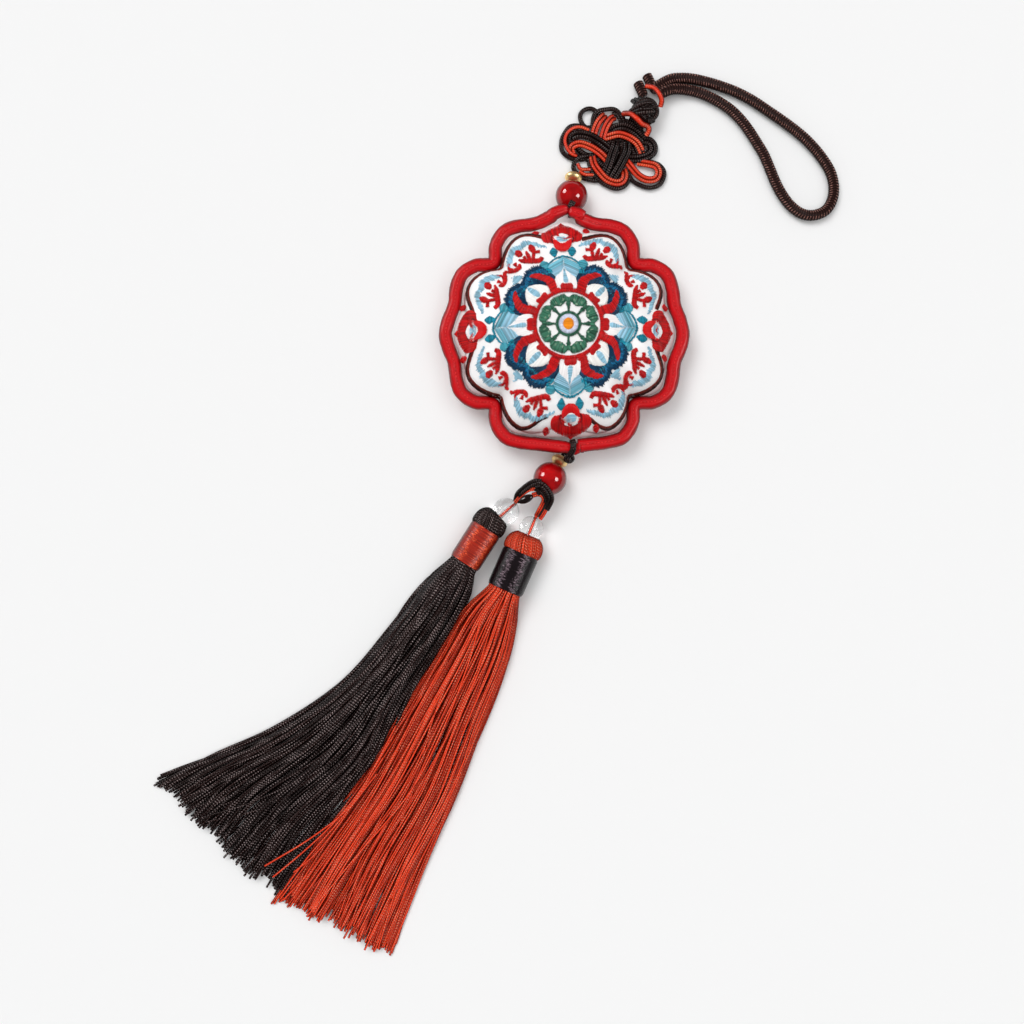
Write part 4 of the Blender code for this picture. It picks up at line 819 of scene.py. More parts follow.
def chart_stitches(spacing):
    """All stitches of the medallion, by thread colour."""
    threads = {name: [] for name in THREAD_COLOURS}

    def radial(colour, table, axis, lift, jitter=0.1, tone=None):
        rows = mirrored(table)
        rails = rails_between([(low, axis + a) for a, low, _ in rows],
                              [(high, axis + a) for a, _, high in rows])
        satin(threads[colour], rails, lift, spacing, jitter, tone)

    def leaf(colour, table, axis, lift, jitter=0.08, tone=None):
        rails = rails_between([(r, axis - a) for r, a in table], [(r, axis + a) for r, a in table])
        satin(threads[colour], rails, lift, spacing, jitter, tone)

    def ring(colour, low, high, lift, tone=None):
        circle = [3.0 * number for number in range(121)]
        rails = rails_between([(low, angle) for angle in circle], [(high, angle) for angle in circle])
        satin(threads[colour], rails, lift, spacing, 0.06, tone)

    for axis in HEART_AXES:
        outer = [(a, high, high) for a, _, high in HEART]
        radial("navy", moved(HEART, 0.0, -3.5), axis, 0.1, 0.15)
        radial("sea_blue", moved(outer[:8], -9.0, -4.0), axis, 0.22, 0.5)
        radial("navy", moved(outer[:8], -5.0, 0.0), axis, 0.2, 0.42, tone=0.6)
        radial("teal", moved(outer[7:10], -4.0, 0.0)[::-1], axis, 0.2, 0.4)
        leaf("light_blue", HAZE, axis, 0.02, 0.5, tone=0.5)
        radial("cream", CREAM_PETAL, axis, 0.24)
        leaf("light_blue", CREAM_DROP, axis, 0.46)
        radial("red", CREAM_CROWN, axis, 0.5, tone=0.4)
        for side in (-1, 1):
            inner, outer = ([(r, axis + side * a) for r, a in table]
                            for table in (CRESCENT_INNER, CRESCENT_OUTER))
            satin(threads["red"], rails_between(inner, outer), 0.36, spacing, 0.14)
            core = [[(r, angle * (1.0 - share) + far * share)
                     for (r, angle), (_, far) in zip(inner, outer)][:7] for share in (0.4, 0.58)]
            satin(threads["dark_red"], rails_between(*core), 0.56, spacing * 1.5, 0.25)
    for axis, further in AXES:
        for side in (-1, 1):
            for colour, table in (("light_blue", FAN_ARCS), ("aqua", FAN_BORDER)):
                rows = [(low + 0.6 * further, a, high + 0.8 * further) for low, a, high in table]
                rails = rails_between([(r, axis + side * a) for r, a, _ in rows],
                                      [(r, axis) for _, _, r in rows])
                satin(threads[colour], rails, 0.1, spacing, 0.12)
            leaf("pale_teal", SQUARE, axis + side * 17.4, 0.12)
            leaf("teal", DIAMOND, axis + side * 6.9, 0.15)
            leaf("red", [(r + further, a) for r, a in SIDE_LEAF], axis + side * 14.2, 0.45)
        radial("teal", moved(FAN_EDGE, 0.8 * further, 0.8 * further), axis, 0.24, 0.12)
        radial("white", PETAL, axis, 0.24)
        leaf("light_blue", TEARDROP, axis, 0.46)
        radial("red", CROWN_LEAF, axis, 0.5, tone=0.4)
        radial("red", moved(LOTUS, further, further), axis, 0.2)
        for colour, table, lift in (("red", LOTUS_TIP, 0.2), ("white", OVAL, 0.42),
                                    ("light_blue", OVAL_BLUE, 0.6), ("white", OVAL_NOTCH, 0.75)):
            leaf(colour, [(r + further, a) for r, a in table], axis, lift)
        radial("red", moved(BOWL, further, further), axis, 0.62, tone=1.0)
        loop = [2 * math.pi * number / 16 for number in range(17)]
        rim = [(axis + 7.2 * math.cos(turn), 91.4 + further + 6.2 * math.sin(turn)) for turn in loop]
        satin(threads["dark_red"], stroke(rim, [0.7] * 17), 0.5, spacing, 0.1)
        for side in (-1, 1):
            rails = rails_between([(low, axis + side * a) for a, low, _ in CLOUD],
                                  [(high, axis + side * a) for a, _, high in CLOUD])
            satin(threads["light_blue"], rails, 0.02, spacing * 1.1, 0.35)
            for halves, spine in SCROLLS:
                placed = [(axis + side * a, r - SCROLL_DROP) for a, r in spine]
                heavy = [half * SCROLL_WEIGHT for half in halves]
                satin(threads["red"], stroke(placed, heavy), 0.22, spacing, 0.08)
    ring("red", 31.6, 35.6, 0.4)
    ring("brown", 30.9, 31.6, 0.25, tone=0.2)
    ring("green", 9.9, 12.8, 0.3, tone=0.3)
    ring("lavender", 5.2, 9.9, 0.36)
    turns = [math.pi * step / 12 for step in range(13)]
    disc = [(5.6 * math.sin(turn), 5.6 * math.cos(turn)) for turn in turns]
    middle = polar(0.0, 0.0)
    rails = [[(middle[0] + side * across * UNIT, middle[1] + up * UNIT) for across, up in disc]
             for side in (-1, 1)]
    satin(threads["orange"], rails, 0.5, spacing, 0.05)
    for number in range(8):
        between = 45 * number + 22.5
        leaf("green", SPOKE, 45 * number, 0.3, tone=0.3)
        lobe = [(a, 1.07 * low, 1.08 * high) for a, low, high in GREEN_LOBE]
        radial("green", lobe, between, 0.32, 0.14)
        for aside, low, high in ((-9.5, 23.4, 26), (8.5, 22.6, 25.4), (0, 19.8, 22)):
            leaf("sage", [(low, 1.5), ((low + high) / 2, 3.2), (high, 1.5)], between + aside, 0.55, 0.2)
    edge_stitches(threads["brown"])
    return threads


def make_embroidery(sizes):
    """Satin stitches of the medallion, one piece for each colour of thread."""
    random.seed(7)
    for name, lines in chart_stitches(sizes.stitch_spacing / MM).items():
        code, contrast = THREAD_COLOURS[name]
        thread = rayon_thread(name + "_rayon_thread", linear(code), contrast)
        piece = wind(name + "_stitches", lines, sizes.stitch_radius / MM, 5, thread)
        dress(piece, "silk_stitching")


# The two colours of cord
DARK, ORANGE = "dark", "orange"

# Thickness of the woven knot's cords as in the part's source, and a hundredth of its width, in millimetres
KNOT_CORD, KNOT_SHARE = 1.4, 0.33

# How far the woven knot's middle lies to the right and up from the button knot's, in millimetres
KNOT_PLACE = (-0.327 * 33.0 + 0.2, -0.345 * 33.0 + 0.75)

# Half the width of the woven knot's cords, and how far apart two of them lie side by side, as a share of it
KNOT_HALVES, KNOT_ASIDE = {DARK: 0.72, ORANGE: 0.62}, 0.97

# Woven knot: colour, how many cords lie side by side, and their route in hundredths of the knot's width to
# the right and up from its middle, with the layer from 0 for the lower one to 1 for the upper one
KNOT_CHART = (
    (ORANGE, 2, ((-16, 11, .1), (-14, 18, .7), (-11, 24, 1), (-7, 29, .6), (-5, 31, .1))),
    (ORANGE, 2, ((-8, 6, .1), (-6, 14, .8), (-3, 21, 1), (1, 27, .6), (4, 29, .1))),
    (DARK, 2, ((6, 7, .2), (4, 0, .9), (1, -9, 1), (-2, -18, 1), (-5, -25, .3))),
    (DARK, 2, ((17, 5, .2), (16, -4, .9), (12, -13, 1), (7, -22, 1), (2, -30, .2))),
    (DARK, 2, ((-3, 14, 0), (6, 19, .6), (15, 19, 1), (24, 14, 1), (32, 7, .6))),
    (ORANGE, 2, ((-8, 9, 0), (-2, 10, .6), (8, 12, 1), (18, 9, 1), (25, 4, 1), (29, -2, .6),
                 (31, -7, .1))),
    (DARK, 2, ((-37, 4, 0), (-37, 8, .4), (-34, 11, .8), (-28, 12, 1), (-19, 10, 1), (-9, 4, 1),
               (-2, -1, .5), (7, -7, 0))),
    (ORANGE, 2, ((-36, -6, .2), (-37, -1, .5), (-34, 2, .8), (-28, 3, 1), (-19, 0, 1), (-11, -5, 1),
                 (-5, -10, .5), (1, -16, 0))),
    (DARK, 1, ((-19, 19, .3), (-24, 20, .3), (-28, 26, .3), (-28, 32, .3), (-24, 36, .3), (-18, 37, .3),
               (-12, 34, .2))),
    (DARK, 1, ((-17, 18, .4), (-16, 28, .6), (-12, 34, .6), (-4, 36, .6), (4, 36, .6), (9, 32, .6),
               (13, 26, .6), (15, 20, .3))),
    (DARK, 1, ((-21, 19, .2), (-30, 21, .2), (-38, 20, .2), (-43, 14, .2), (-46, 7, .2), (-46, -2, .2),
               (-41, -8, .2), (-34, -11, .2), (-25, -11, .1))),
    (ORANGE, 1, ((-20, 16, .8), (-28, 19, .8), (-35, 18, .8), (-41, 13, .8), (-43, 6, .8), (-41, -1, .8),
                 (-37, -6, .7), (-32, -8, .3))),
    (DARK, 1, ((-20, -8, .5), (-28, -9, .6), (-33, -13, .6), (-35, -19, .5), (-32, -24, .3),
               (-25, -29, .2), (-15, -31, .1), (-7, -30, 0))),
    (ORANGE, 1, ((-31, -16, 1), (-28, -21, 1), (-19, -21, .6))),
    (ORANGE, 1, ((-29, -23, .9), (-24, -26, .9), (-16, -26, .4))),
    (ORANGE, 2, ((-17, -9, .4), (-15, -17, .9), (-10, -24, .9), (-3, -31, .9), (6, -34, .9),
                 (12, -32, .9), (14, -26, .6), (13, -21, .1))),
    (DARK, 1, ((-20, -11, .2), (-19, -19, .3), (-14, -28, .3), (-5, -35, .3), (5, -39, .3),
               (13, -37, .3), (17, -32, .2), (18, -26, .1))),
    (ORANGE, 2, ((15, -12, .3), (20, -19, .8), (27, -27, .8), (35, -31, .8), (43, -30, .8),
                 (46, -24, .8), (43, -18, .8), (36, -16, .8), (26, -14, .4))),
    (DARK, 1, ((16, -22, .2), (21, -31, .2), (29, -36, .2), (38, -38, .2), (47, -35, .2), (51, -28, .3),
               (51, -22, .3), (46, -16, .2), (37, -13, .2))),
    (DARK, 2, ((30, 7, .4), (37, 6, .5), (41, 1, .5), (40, -5, .5), (33, -9, .5), (24, -11, .5),
               (15, -10, .2))),
    (DARK, 2, ((-15, 7, 0), (-5, -10, 0), (8, -29, 0))),
    (DARK, 2, ((0, 18, 0), (14, 1, 0), (26, -11, 0))),
    (DARK, 2, ((-19, -16, 0), (-5, -2, 0), (10, 11, 0), (24, 20, .2))),
    (DARK, 2, ((11, 24, .4), (18, 22, .6), (25, 17, .6), (30, 12, .3))),
    (DARK, 1, ((19, 28, .9), (25, 23, 1.2), (30, 16, 1))),
    (DARK, 2, ((-35, 8, .2), (-31, -3, 0), (-21, -9, 0), (-10, -8, 0))),
    (DARK, 2, ((10, 5, 0), (8, -8, 0), (2, -22, 0))),
    (DARK, 2, ((-16, -12, 0), (-6, -20, 0), (2, -26, 0))),
    (DARK, 2, ((27, -6, .2), (33, -5, .4), (37, -1, .4), (35, 3, .3))),
    (DARK, 2, ((19, 8, 0), (23, -1, 0), (26, -9, 0))),
    (DARK, 1, ((-14, 20, .2), (-12, 28, .4), (-8, 31, .3))),
    (DARK, 1, ((2, 32, .2), (7, 31, .4), (10, 25, .4), (12, 19, .1))),
)

# Button knot, in millimetres: half its width and its height over its middle, and how high its middle lies
BUTTON_HALF, BUTTON_RISE, BUTTON_MIDDLE = 4.3, 3.4, 4.0

# Loops that fill the button knot's body: heading in degrees and size, and how far aside of its middle they
# lie, as shares of the body's half width and height, which are in millimetres
BUTTON_LOOPS, LOOPS_ASIDE = ((-38, 0.98), (82, 0.9), (22, 0.82)), (-0.62, -0.3, 0.0, 0.3, 0.62)
BODY_HALF, BODY_RISE = 3.7, 3.0

# Cords on the button knot, in millimetres to the right and up from its middle, seen from above
BUTTON_WRAPS = (
    ((-4.6, -.3), (-2.2, 1), (0, 1.7), (2, 1.8)),
    ((-4.3, -.9), (-1.5, -.4), (2, 0)),
    ((-2.9, -1.4), (-.1, -1.3), (2, -1)),
    ((0, 3.2), (2.2, 2.4), (3.5, .4), (3.6, -1.4), (2.5, -2.8), (.6, -3.5)),
    ((-4.0, 3.0), (-3.0, 1.8)),
    ((-3.1, 3.4), (-2.0, 2.1)),
    ((-1.8, 3.8), (-0.8, 2.4)),
    ((.6, -2.8), (1.8, -3.9)),
    ((1.4, -2.4), (2.6, -3.5)),
    ((-4.0, -2.0), (-2.4, -3.2), (-0.4, -3.9)),
    ((-3.4, 0.6), (-1.6, 2.4), (0.8, 2.9)),
)

# Orange cords beside the button knot, the strap's ends and its route, in millimetres from the button's middle
NECK_TIE = ((-6.6, -0.7, 3.6), (-5.6, -0.9, 4.6), (-4.3, -1.5, 5.8), (-2.6, -3.1, 6.6), (-1.0, -4.5, 5.9),
            (0.6, -4.9, 4.9), (1.3, -5.8, 4.2), (0.6, -7.3, 3.2))
STRAP_RING = ((0.4, 7.9, 3.6), (2.8, 7.1, 4.6), (4.3, 5.2, 5.2), (5.2, 3.2, 4.7), (4.9, 1.5, 3.7))
STRAP_ENDS = (((-2.2, 10.0, 1.7), (-1.0, 7.4, 1.7), (0.0, 5.0, 1.7)),
              ((0.6, 12.3, 1.7), (1.8, 9.8, 1.7), (2.7, 7.7, 1.7)))
STRAP_ROUTE = (
    (1.9, 6.9, 1.6), (4.5, 8.6, 1.6), (7.5, 10.3, 1.5), (10.1, 10.9, 1.5), (14.4, 10.8, 1.5),
    (18.9, 9.9, 1.5), (23.7, 8.5, 1.5), (29.0, 6.5, 1.5), (34.1, 3.8, 1.5), (39.2, 0.4, 1.5),
    (44.4, -3.2, 1.5), (49.4, -7.1, 1.5), (53.1, -10.8, 1.5), (56.1, -14.6, 1.5), (58.4, -18.6, 1.5),
    (59.4, -23.0, 1.5), (58.9, -27.1, 1.5), (56.9, -30.4, 1.5), (53.4, -31.9, 1.5), (49.7, -31.6, 1.5),
    (46.2, -29.3, 1.5), (43.4, -25.8, 1.5), (41.2, -21.8, 1.5), (39.4, -17.4, 1.5), (37.5, -13.0, 1.5),
    (35.3, -9.3, 1.5), (32.8, -5.4, 1.5), (30.0, -1.8, 1.5), (26.5, 1.5, 1.5), (22.2, 4.2, 1.5),
    (17.5, 6.3, 1.5), (13.1, 7.2, 1.9), (9.3, 7.2, 2.7), (6.9, 6.5, 3.2), (4.6, 5.4, 3.0),
)


def middle_of(node):
    """Middle of a CAD node's box, in millimetres."""
    low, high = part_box(node)
    return (Vector(low) + Vector(high)) / 2 / MM


def beside_line(route, aside):
    """A route moved sideways on the table."""
    moved_route = []
    for here, (before, after) in zip(route, neighbours(route)):
        way = Vector((after.x - before.x, after.y - before.y, 0.0)).normalized()
        moved_route.append(here + Vector((-way.y, way.x, 0.0)) * aside)
    return moved_route


def heading_way(heading):
    """Level direction at an angle in degrees, and the direction across it."""
    along = Vector((math.cos(math.radians(heading)), math.sin(math.radians(heading)), 0.0))
    return along, Vector((-along.y, along.x, 0.0))


def cord_paints(sizes):
    """Twisted rayon cord in the sachet's two cord colours, each with the colour of its painted highlight
    dots.
    """
    return {
        DARK: twisted_cord("dark_brown_rayon_cord", sizes.dark_cord, linear("#8e7874"), 0.7 * MM,
                           contrast=0.35, glint=0.4, strength=0.4, gloss=0.25),
        ORANGE: twisted_cord("orange_rayon_cord", scaled(sizes.orange_cord, 1.15), linear("#ff9a68"),
                             0.7 * MM, contrast=0.3, glint=0.9, strength=0.4, gloss=0.3),
    }


def tie_woven_knot(button, paints):
    """Flat woven knot of dark and orange cords in two layers."""
    knot = Vector((button.x + KNOT_PLACE[0], button.y + KNOT_PLACE[1], 0.0))
    lines = {DARK: [], ORANGE: []}
    for colour, count, chart in KNOT_CHART:
        route = smooth_route([knot + Vector((across * KNOT_SHARE, up * KNOT_SHARE,
                                             KNOT_CORD * (0.52 + 0.92 * layer)))
                              for across, up, layer in chart], 0.5)
        apart = KNOT_ASIDE * KNOT_HALVES[colour]
        for aside in ((0.0,) if count == 1 else (-apart, apart)):
            lines[colour].append((beside_line(route, aside), random.uniform(0.3, 0.7), None))
    for colour, slot in ((DARK, "dark_brown_cord"), (ORANGE, "orange_cord")):
        cords = wind("knot_" + colour + "_cords", lines[colour], KNOT_HALVES[colour], 12, paints[colour])
        dress(cords, slot, "mystic_knot")


def tie_button_knot(button, paint):
    """Round button knot: the cords seen on top, over loops that fill its body in three directions."""
    wraps = []
    for chart in BUTTON_WRAPS:
        spots = []
        for x, y in chart:
            reach = min(math.hypot(x, y) / BUTTON_HALF, 0.97)
            spots.append(Vector((button.x + x, button.y + y,
                                 BUTTON_MIDDLE + math.sqrt(1 - reach * reach) * BUTTON_RISE)))
        wraps.append((smooth_route(spots, 0.4), random.uniform(0.2, 0.8), None))
    for heading, reach in BUTTON_LOOPS:
        along, across = heading_way(heading)
        for aside in LOOPS_ASIDE:
            size = math.sqrt(1.0 - aside * aside) * reach
            loop = []
            for step in range(33):
                turn = 2 * math.pi * step / 32
                spot = along * BODY_HALF * size * math.cos(turn) + across * BODY_HALF * aside
                loop.append(Vector((button.x, button.y, 0.0)) + spot
                            + Vector((0.0, 0.0, BUTTON_MIDDLE + BODY_RISE * size * math.sin(turn))))
            wraps.append((loop, random.uniform(0.1, 0.9), None))
    dress(wind("button_knot_cords", wraps, 0.7, 10, paint), "dark_brown_cord", "button_knot")


def make_knots(sizes):
    """Woven knot, button knot and the orange cords beside it."""
    random.seed(11)
    button = middle_of("button_knot")
    paints = cord_paints(sizes)
    tie_woven_knot(button, paints)
    tie_button_knot(button, paints[DARK])
    ground = Vector((button.x, button.y, 0.0))
    for name, node, half, chart in (("neck_cord", "neck_tie", 0.92, NECK_TIE),
                                    ("ring_cord", "strap_ring", 0.82, STRAP_RING)):
        route = smooth_route([ground + Vector(spot) for spot in chart], 0.3)
        dress(wind(name, [(route, 0.7, None)], half, 12, paints[ORANGE]), "orange_cord", node)


# Length of one knitted stitch in millimetres, and how far it leans for each radian round the cord
KNIT_PITCH, KNIT_LEAN = 0.8, 0.5

# Depth of the groove along the knitted cord's top and of its stitches, in millimetres
KNIT_GROOVE, KNIT_RELIEF = 0.25, 0.06

# Distance between the knitted cord's rings in millimetres, and how many points each ring has
KNIT_SPACING, KNIT_SIDES = 0.3, 24

# Half the width of the knitted strap and of its short ends, and how far the strap lies over its route
STRAP_HALF, STRAP_END_HALF, STRAP_RISE = 1.72, 1.62, 0.24


def knitted_tube(name, route, radius, material):
    """Round knitted cord: a groove along its top with a chevron of stitches at either side."""
    rings, lengths, walked = [], [], 0.0
    for number, (spot, (before, after)) in enumerate(zip(route, neighbours(route))):
        walked += (spot - before).length
        lengths.append(walked)
        way = (after - before).normalized()
        side = way.cross(Vector((0.0, 0.0, 1.0))).normalized()
        up = side.cross(way)
        cap = rounded_end(number, len(route), KNIT_SPACING, radius * 0.5)
        ring = []
        for index in range(KNIT_SIDES):
            phi = 2 * math.pi * index / KNIT_SIDES
            across = abs((phi - math.pi / 2 + math.pi) % (2 * math.pi) - math.pi)
            chevron = math.sin(2 * math.pi * (walked / KNIT_PITCH - across * KNIT_LEAN))
            groove = math.exp(-(across / 0.22) ** 2) * KNIT_GROOVE
            size = (radius - KNIT_RELIEF + KNIT_RELIEF * chevron - groove) * max(cap, 0.05)
            ring.append(spot + side * size * math.cos(phi) + up * size * math.sin(phi))
        rings.append(ring)
    tube = shell(name, rings, material)
    unroll(tube, KNIT_SIDES, lengths, 1)
    return tube


def knitted_rayon(sizes):
    """Knitted rayon strap: near black, with painted brown-grey highlights as small dashes in two rows of
    slanting stitches.
    """
    paint, tree, shader = new_material("knitted_rayon_strap", Roughness=0.4, Specular_IOR_Level=0.08)
    flat = add_node(tree, "ShaderNodeUVMap", uv_map="UVMap")
    parts = add_node(tree, "ShaderNodeSeparateXYZ", {0: flat})
    aside = add_node(tree, "ShaderNodeMath", {0: parts.outputs["X"], 1: 0.25}, operation="SUBTRACT")
    across = add_node(tree, "ShaderNodeMath", {0: aside}, operation="ABSOLUTE")
    lean = add_node(tree, "ShaderNodeMath", {0: across, 1: -KNIT_LEAN * 2 * math.pi}, operation="MULTIPLY")
    rows = add_node(tree, "ShaderNodeMath", {0: parts.outputs["Y"], 1: 1 / (KNIT_PITCH * MM),
                                             2: lean}, operation="MULTIPLY_ADD")
    turn = add_node(tree, "ShaderNodeMath", {0: rows, 1: 2 * math.pi}, operation="MULTIPLY")
    wave = add_node(tree, "ShaderNodeMath", {0: turn}, operation="SINE")
    stitch = add_node(tree, "ShaderNodeMapRange", {"Value": wave, "From Min": 0.2, "From Max": 1.0})
    fine = add_node(tree, "ShaderNodeMapping", {"Vector": flat, "Scale": (26.0, 3000.0, 1.0)})
    yarn = add_node(tree, "ShaderNodeTexNoise", {"Vector": fine, "Scale": 1.0, "Detail": 2.0})
    glint = add_node(tree, "ShaderNodeMapRange", {"Value": yarn, "From Min": 0.4, "From Max": 0.62})
    dash = add_node(tree, "ShaderNodeMath", {0: stitch, 1: glint}, operation="MULTIPLY")
    off_row = add_node(tree, "ShaderNodeMath", {0: across, 1: 0.11}, operation="SUBTRACT")
    far = add_node(tree, "ShaderNodeMath", {0: off_row}, operation="ABSOLUTE")
    near = add_node(tree, "ShaderNodeMapRange", {"Value": far, "From Min": 0.03, "From Max": 0.06,
                                                 "To Min": 1.0, "To Max": 0.08})
    amount = add_node(tree, "ShaderNodeMath", {0: dash, 1: near}, operation="MULTIPLY")
    # Painted highlight: light brown-grey dashes mixed into the near black cord
    painted_highlight_dashes = add_node(tree, "ShaderNodeMix", {0: amount, 6: scaled(sizes.dark_cord, 1.3),
                                              7: rgba(linear("#c89084"))}, data_type="RGBA")
    tree.links.new(painted_highlight_dashes.outputs[2], shader.inputs["Base Color"])
    bump = add_node(tree, "ShaderNodeBump", {"Strength": 0.5, "Distance": 0.2 * MM, "Height": wave})
    tree.links.new(bump.outputs[0], shader.inputs["Normal"])
    return paint


def make_strap(sizes):
    """Knitted strap loop and its two short ends."""
    button = middle_of("button_knot")
    ground = Vector((button.x, button.y, 0.0))
    paint = knitted_rayon(sizes)
    route = smooth_route([ground + Vector(spot) for spot in STRAP_ROUTE], KNIT_SPACING)
    route = [spot + Vector((0.0, 0.0, STRAP_RISE)) for spot in route]
    strap = knitted_tube("knitted_strap", route, STRAP_HALF, paint)
    dress(strap, "dark_brown_cord", "strap_cord")
    for name, node, chart in (("strap_end_one", "strap_end_left", STRAP_ENDS[0]),
                              ("strap_end_two", "strap_end_right", STRAP_ENDS[1])):
        route = smooth_route([ground + Vector(spot) for spot in chart], KNIT_SPACING)
        dress(knitted_tube(name, route, STRAP_END_HALF, paint), "dark_brown_cord", node)


# How many points each ring of a bead has, and how many rings lie from one mouth of its hole to the other
BEAD_SIDES, BEAD_RINGS = 48, 27


def drilled_bead(name, size, thickness, place, axis, material, bore=0.9):
    """Polished bead with a drilled hole of a given radius, its edge rounded, turned to its thread."""
    start = math.asin(bore / (size / 2))
    turns = [start + (math.pi - 2 * start) * step / (BEAD_RINGS - 1) for step in range(BEAD_RINGS)]
    profile = [(size / 2 * math.sin(turn), thickness / 2 * math.cos(turn)) for turn in turns]
    mouth = profile[0][1]
    profile += [(bore * 0.86, -mouth * share) for share in (0.97, 0.6, 0.2, -0.2, -0.6, -0.97)]
    spin = axis.to_track_quat("Z", "Y")
    shape = bmesh.new()
    rows = []
    for radius, height in profile:
        row = []
        for side in range(BEAD_SIDES):
            turn = 2 * math.pi * side / BEAD_SIDES
            spot = place + spin @ Vector((radius * math.cos(turn), radius * math.sin(turn), height))
            row.append(shape.verts.new(spot * MM))
        rows.append(row)
    for low, high in zip(rows, rows[1:] + rows[:1]):
        for side in range(BEAD_SIDES):
            after = (side + 1) % BEAD_SIDES
            shape.faces.new((low[side], low[after], high[after], high[side]))
    return finished(name, shape, material)


def red_agate():
    """Dyed red agate, polished: deep glassy red with faint darker clouds below the surface, and painted shade
    darkening its edge.
    """
    paint, tree, shader = new_material("polished_red_agate", Roughness=0.06, IOR=1.54)
    spot = add_node(tree, "ShaderNodeTexCoord").outputs["Object"]
    cloud = add_node(tree, "ShaderNodeTexNoise", {"Vector": spot, "Scale": 260.0, "Detail": 4.0,
                                                  "Distortion": 0.6})
    veins = add_node(tree, "ShaderNodeMapRange", {"Value": cloud, "From Min": 0.35, "From Max": 0.7})
    body = add_node(tree, "ShaderNodeMix", {0: veins, 6: rgba(linear("#900307")),
                                            7: rgba(linear("#c0080e"))}, data_type="RGBA")
    # Painted shade: the bead's edge darkened where it turns away from the eye
    painted_edge_shade = add_node(tree, "ShaderNodeMix", {0: turned_away(tree, 0.25, 0.85), 6: body.outputs[2],
                                             7: rgba(linear("#560206"))}, data_type="RGBA")
    tree.links.new(painted_edge_shade.outputs[2], shader.inputs["Base Color"])
    return paint


def gold_plate():
    """Thin gold plating on a cast spacer: warm mirror with tiny casting dimples."""
    paint, tree, shader = new_material("gold_plated_spacer", Metallic=1.0, Roughness=0.42)
    shader.inputs["Base Color"].default_value = rgba(linear("#ffe0a0"))
    spot = add_node(tree, "ShaderNodeTexCoord").outputs["Object"]
    dimple = add_node(tree, "ShaderNodeTexNoise", {"Vector": spot, "Scale": 1500.0, "Detail": 2.0})
    bump = add_node(tree, "ShaderNodeBump", {"Strength": 0.5, "Distance": 0.1 * MM, "Height": dimple})
    tree.links.new(bump.outputs[0], shader.inputs["Normal"])
    return paint


def clear_glass():
    """Clear pressed glass: hard and see-through, with painted grey shade on its edge where the eye looks
    along its wall.
    """
    paint, tree, shader = new_material("clear_pressed_glass", Roughness=0.0, IOR=1.36,
                                       Transmission_Weight=1.0)
    # Painted shade: grey at the edge where the glass turns away from the eye
    painted_edge_shade = add_node(tree, "ShaderNodeMix", {0: turned_away(tree, 0.45, 0.95), 6: rgba(linear("#eeeeee")),
                                             7: rgba(linear("#b0b0b2"))}, data_type="RGBA")
    tree.links.new(painted_edge_shade.outputs[2], shader.inputs["Base Color"])
    return paint


def dark_lacquer():
    """Dark lacquered bead: glossy, near black with a faint brown grain."""
    paint, tree, shader = new_material("lacquered_dark_bead", Roughness=0.12)
    spot = add_node(tree, "ShaderNodeTexCoord").outputs["Object"]
    grain = add_node(tree, "ShaderNodeTexNoise", {"Vector": spot, "Scale": 500.0, "Detail": 3.0})
    mixed = add_node(tree, "ShaderNodeMix", {0: grain, 6: rgba(linear("#0c0505")),
                                             7: rgba(linear("#1c0c0a"))}, data_type="RGBA")
    tree.links.new(mixed.outputs[2], shader.inputs["Base Color"])
    return paint


# Forked cords: colour, half a strand's width and the route in millimetres from the lower agate bead's middle,
# where a word stands for the mouth of the agate bead or of the left or right glass bead
FORK_CORDS = (
    (DARK, 0.5, ("agate", (-3.4, -4.4, 3.4), (-3.3, -3.0, 4.6))),
    (DARK, 0.62, ((-2.9, -1.5, 4.6), (-4.4, -1.2, 4.4), (-6.2, -1.9, 3.6), (-8.1, -3.3, 2.6),
                  (-9.8, -5.0, 1.5), "left")),
    (DARK, 0.62, ((-4.6, -2.2, 3.8), (-2.9, -2.0, 5.0), (-1.4, -3.2, 4.9), (-0.3, -4.9, 4.2),
                  (0.1, -6.4, 2.9), (-0.4, -7.9, 2.1), (-1.3, -9.5, 1.3))),
    (ORANGE, 0.34, ((-11.0, -7.6, 0.2), (-9.8, -6.1, 1.2), (-8.2, -4.6, 2.0), (-6.4, -3.5, 2.8),
                    (-4.4, -3.3, 3.4))),
    (DARK, 0.4, ((-6.6, -2.9, 2.4), (-4.8, -3.2, 3.2), (-3.0, -3.9, 4.2), (-1.6, -5.6, 3.4),
                 (-1.2, -7.4, 2.3))),
    (ORANGE, 0.44, ((-5.4, -5.2, 1.8), (-3.7, -4.8, 2.7), (-2.3, -5.4, 2.9), (-1.9, -6.7, 2.3),
                    (-2.5, -8.3, 1.2), (-3.4, -10.0, 0.4), "right")),
    (ORANGE, 0.36, ((-0.9, -9.0, 1.3), (-2.0, -11.0, 0.6), (-3.1, -12.6, 0.0))),
    (DARK, 0.2, ((-1.3, -7.4, 2.4), (-2.2, -9.6, 1.3), (-3.6, -11.9, 0.3))),
)

# Radius of the strands of the forked cords where a strand's width is 1, in millimetres
FORK_STRAND = 0.48

# Glass beads: side, size in millimetres, way down the thread, and the shade of the thread through them
GLASS_BEADS = (("left", 8.4, (-0.74, -0.65, -0.15), 0.1), ("right", 7.6, (-0.387, -0.922, -0.1), 0.9))

# Agate beads and their sizes, and the gold spacers' size, thickness and half the width of their hole
AGATES = (("top", 10.0), ("bottom", 10.4))
SPACER_SIZE, SPACER_THICKNESS, SPACER_BORE = 5.3, 3.2, 0.65

# Half the width of the threads through the beads, of a tie's cord and of the small knot's, in millimetres
BEAD_THREAD, TIE_CORD, SMALL_CORD = 0.6, 0.42, 0.45

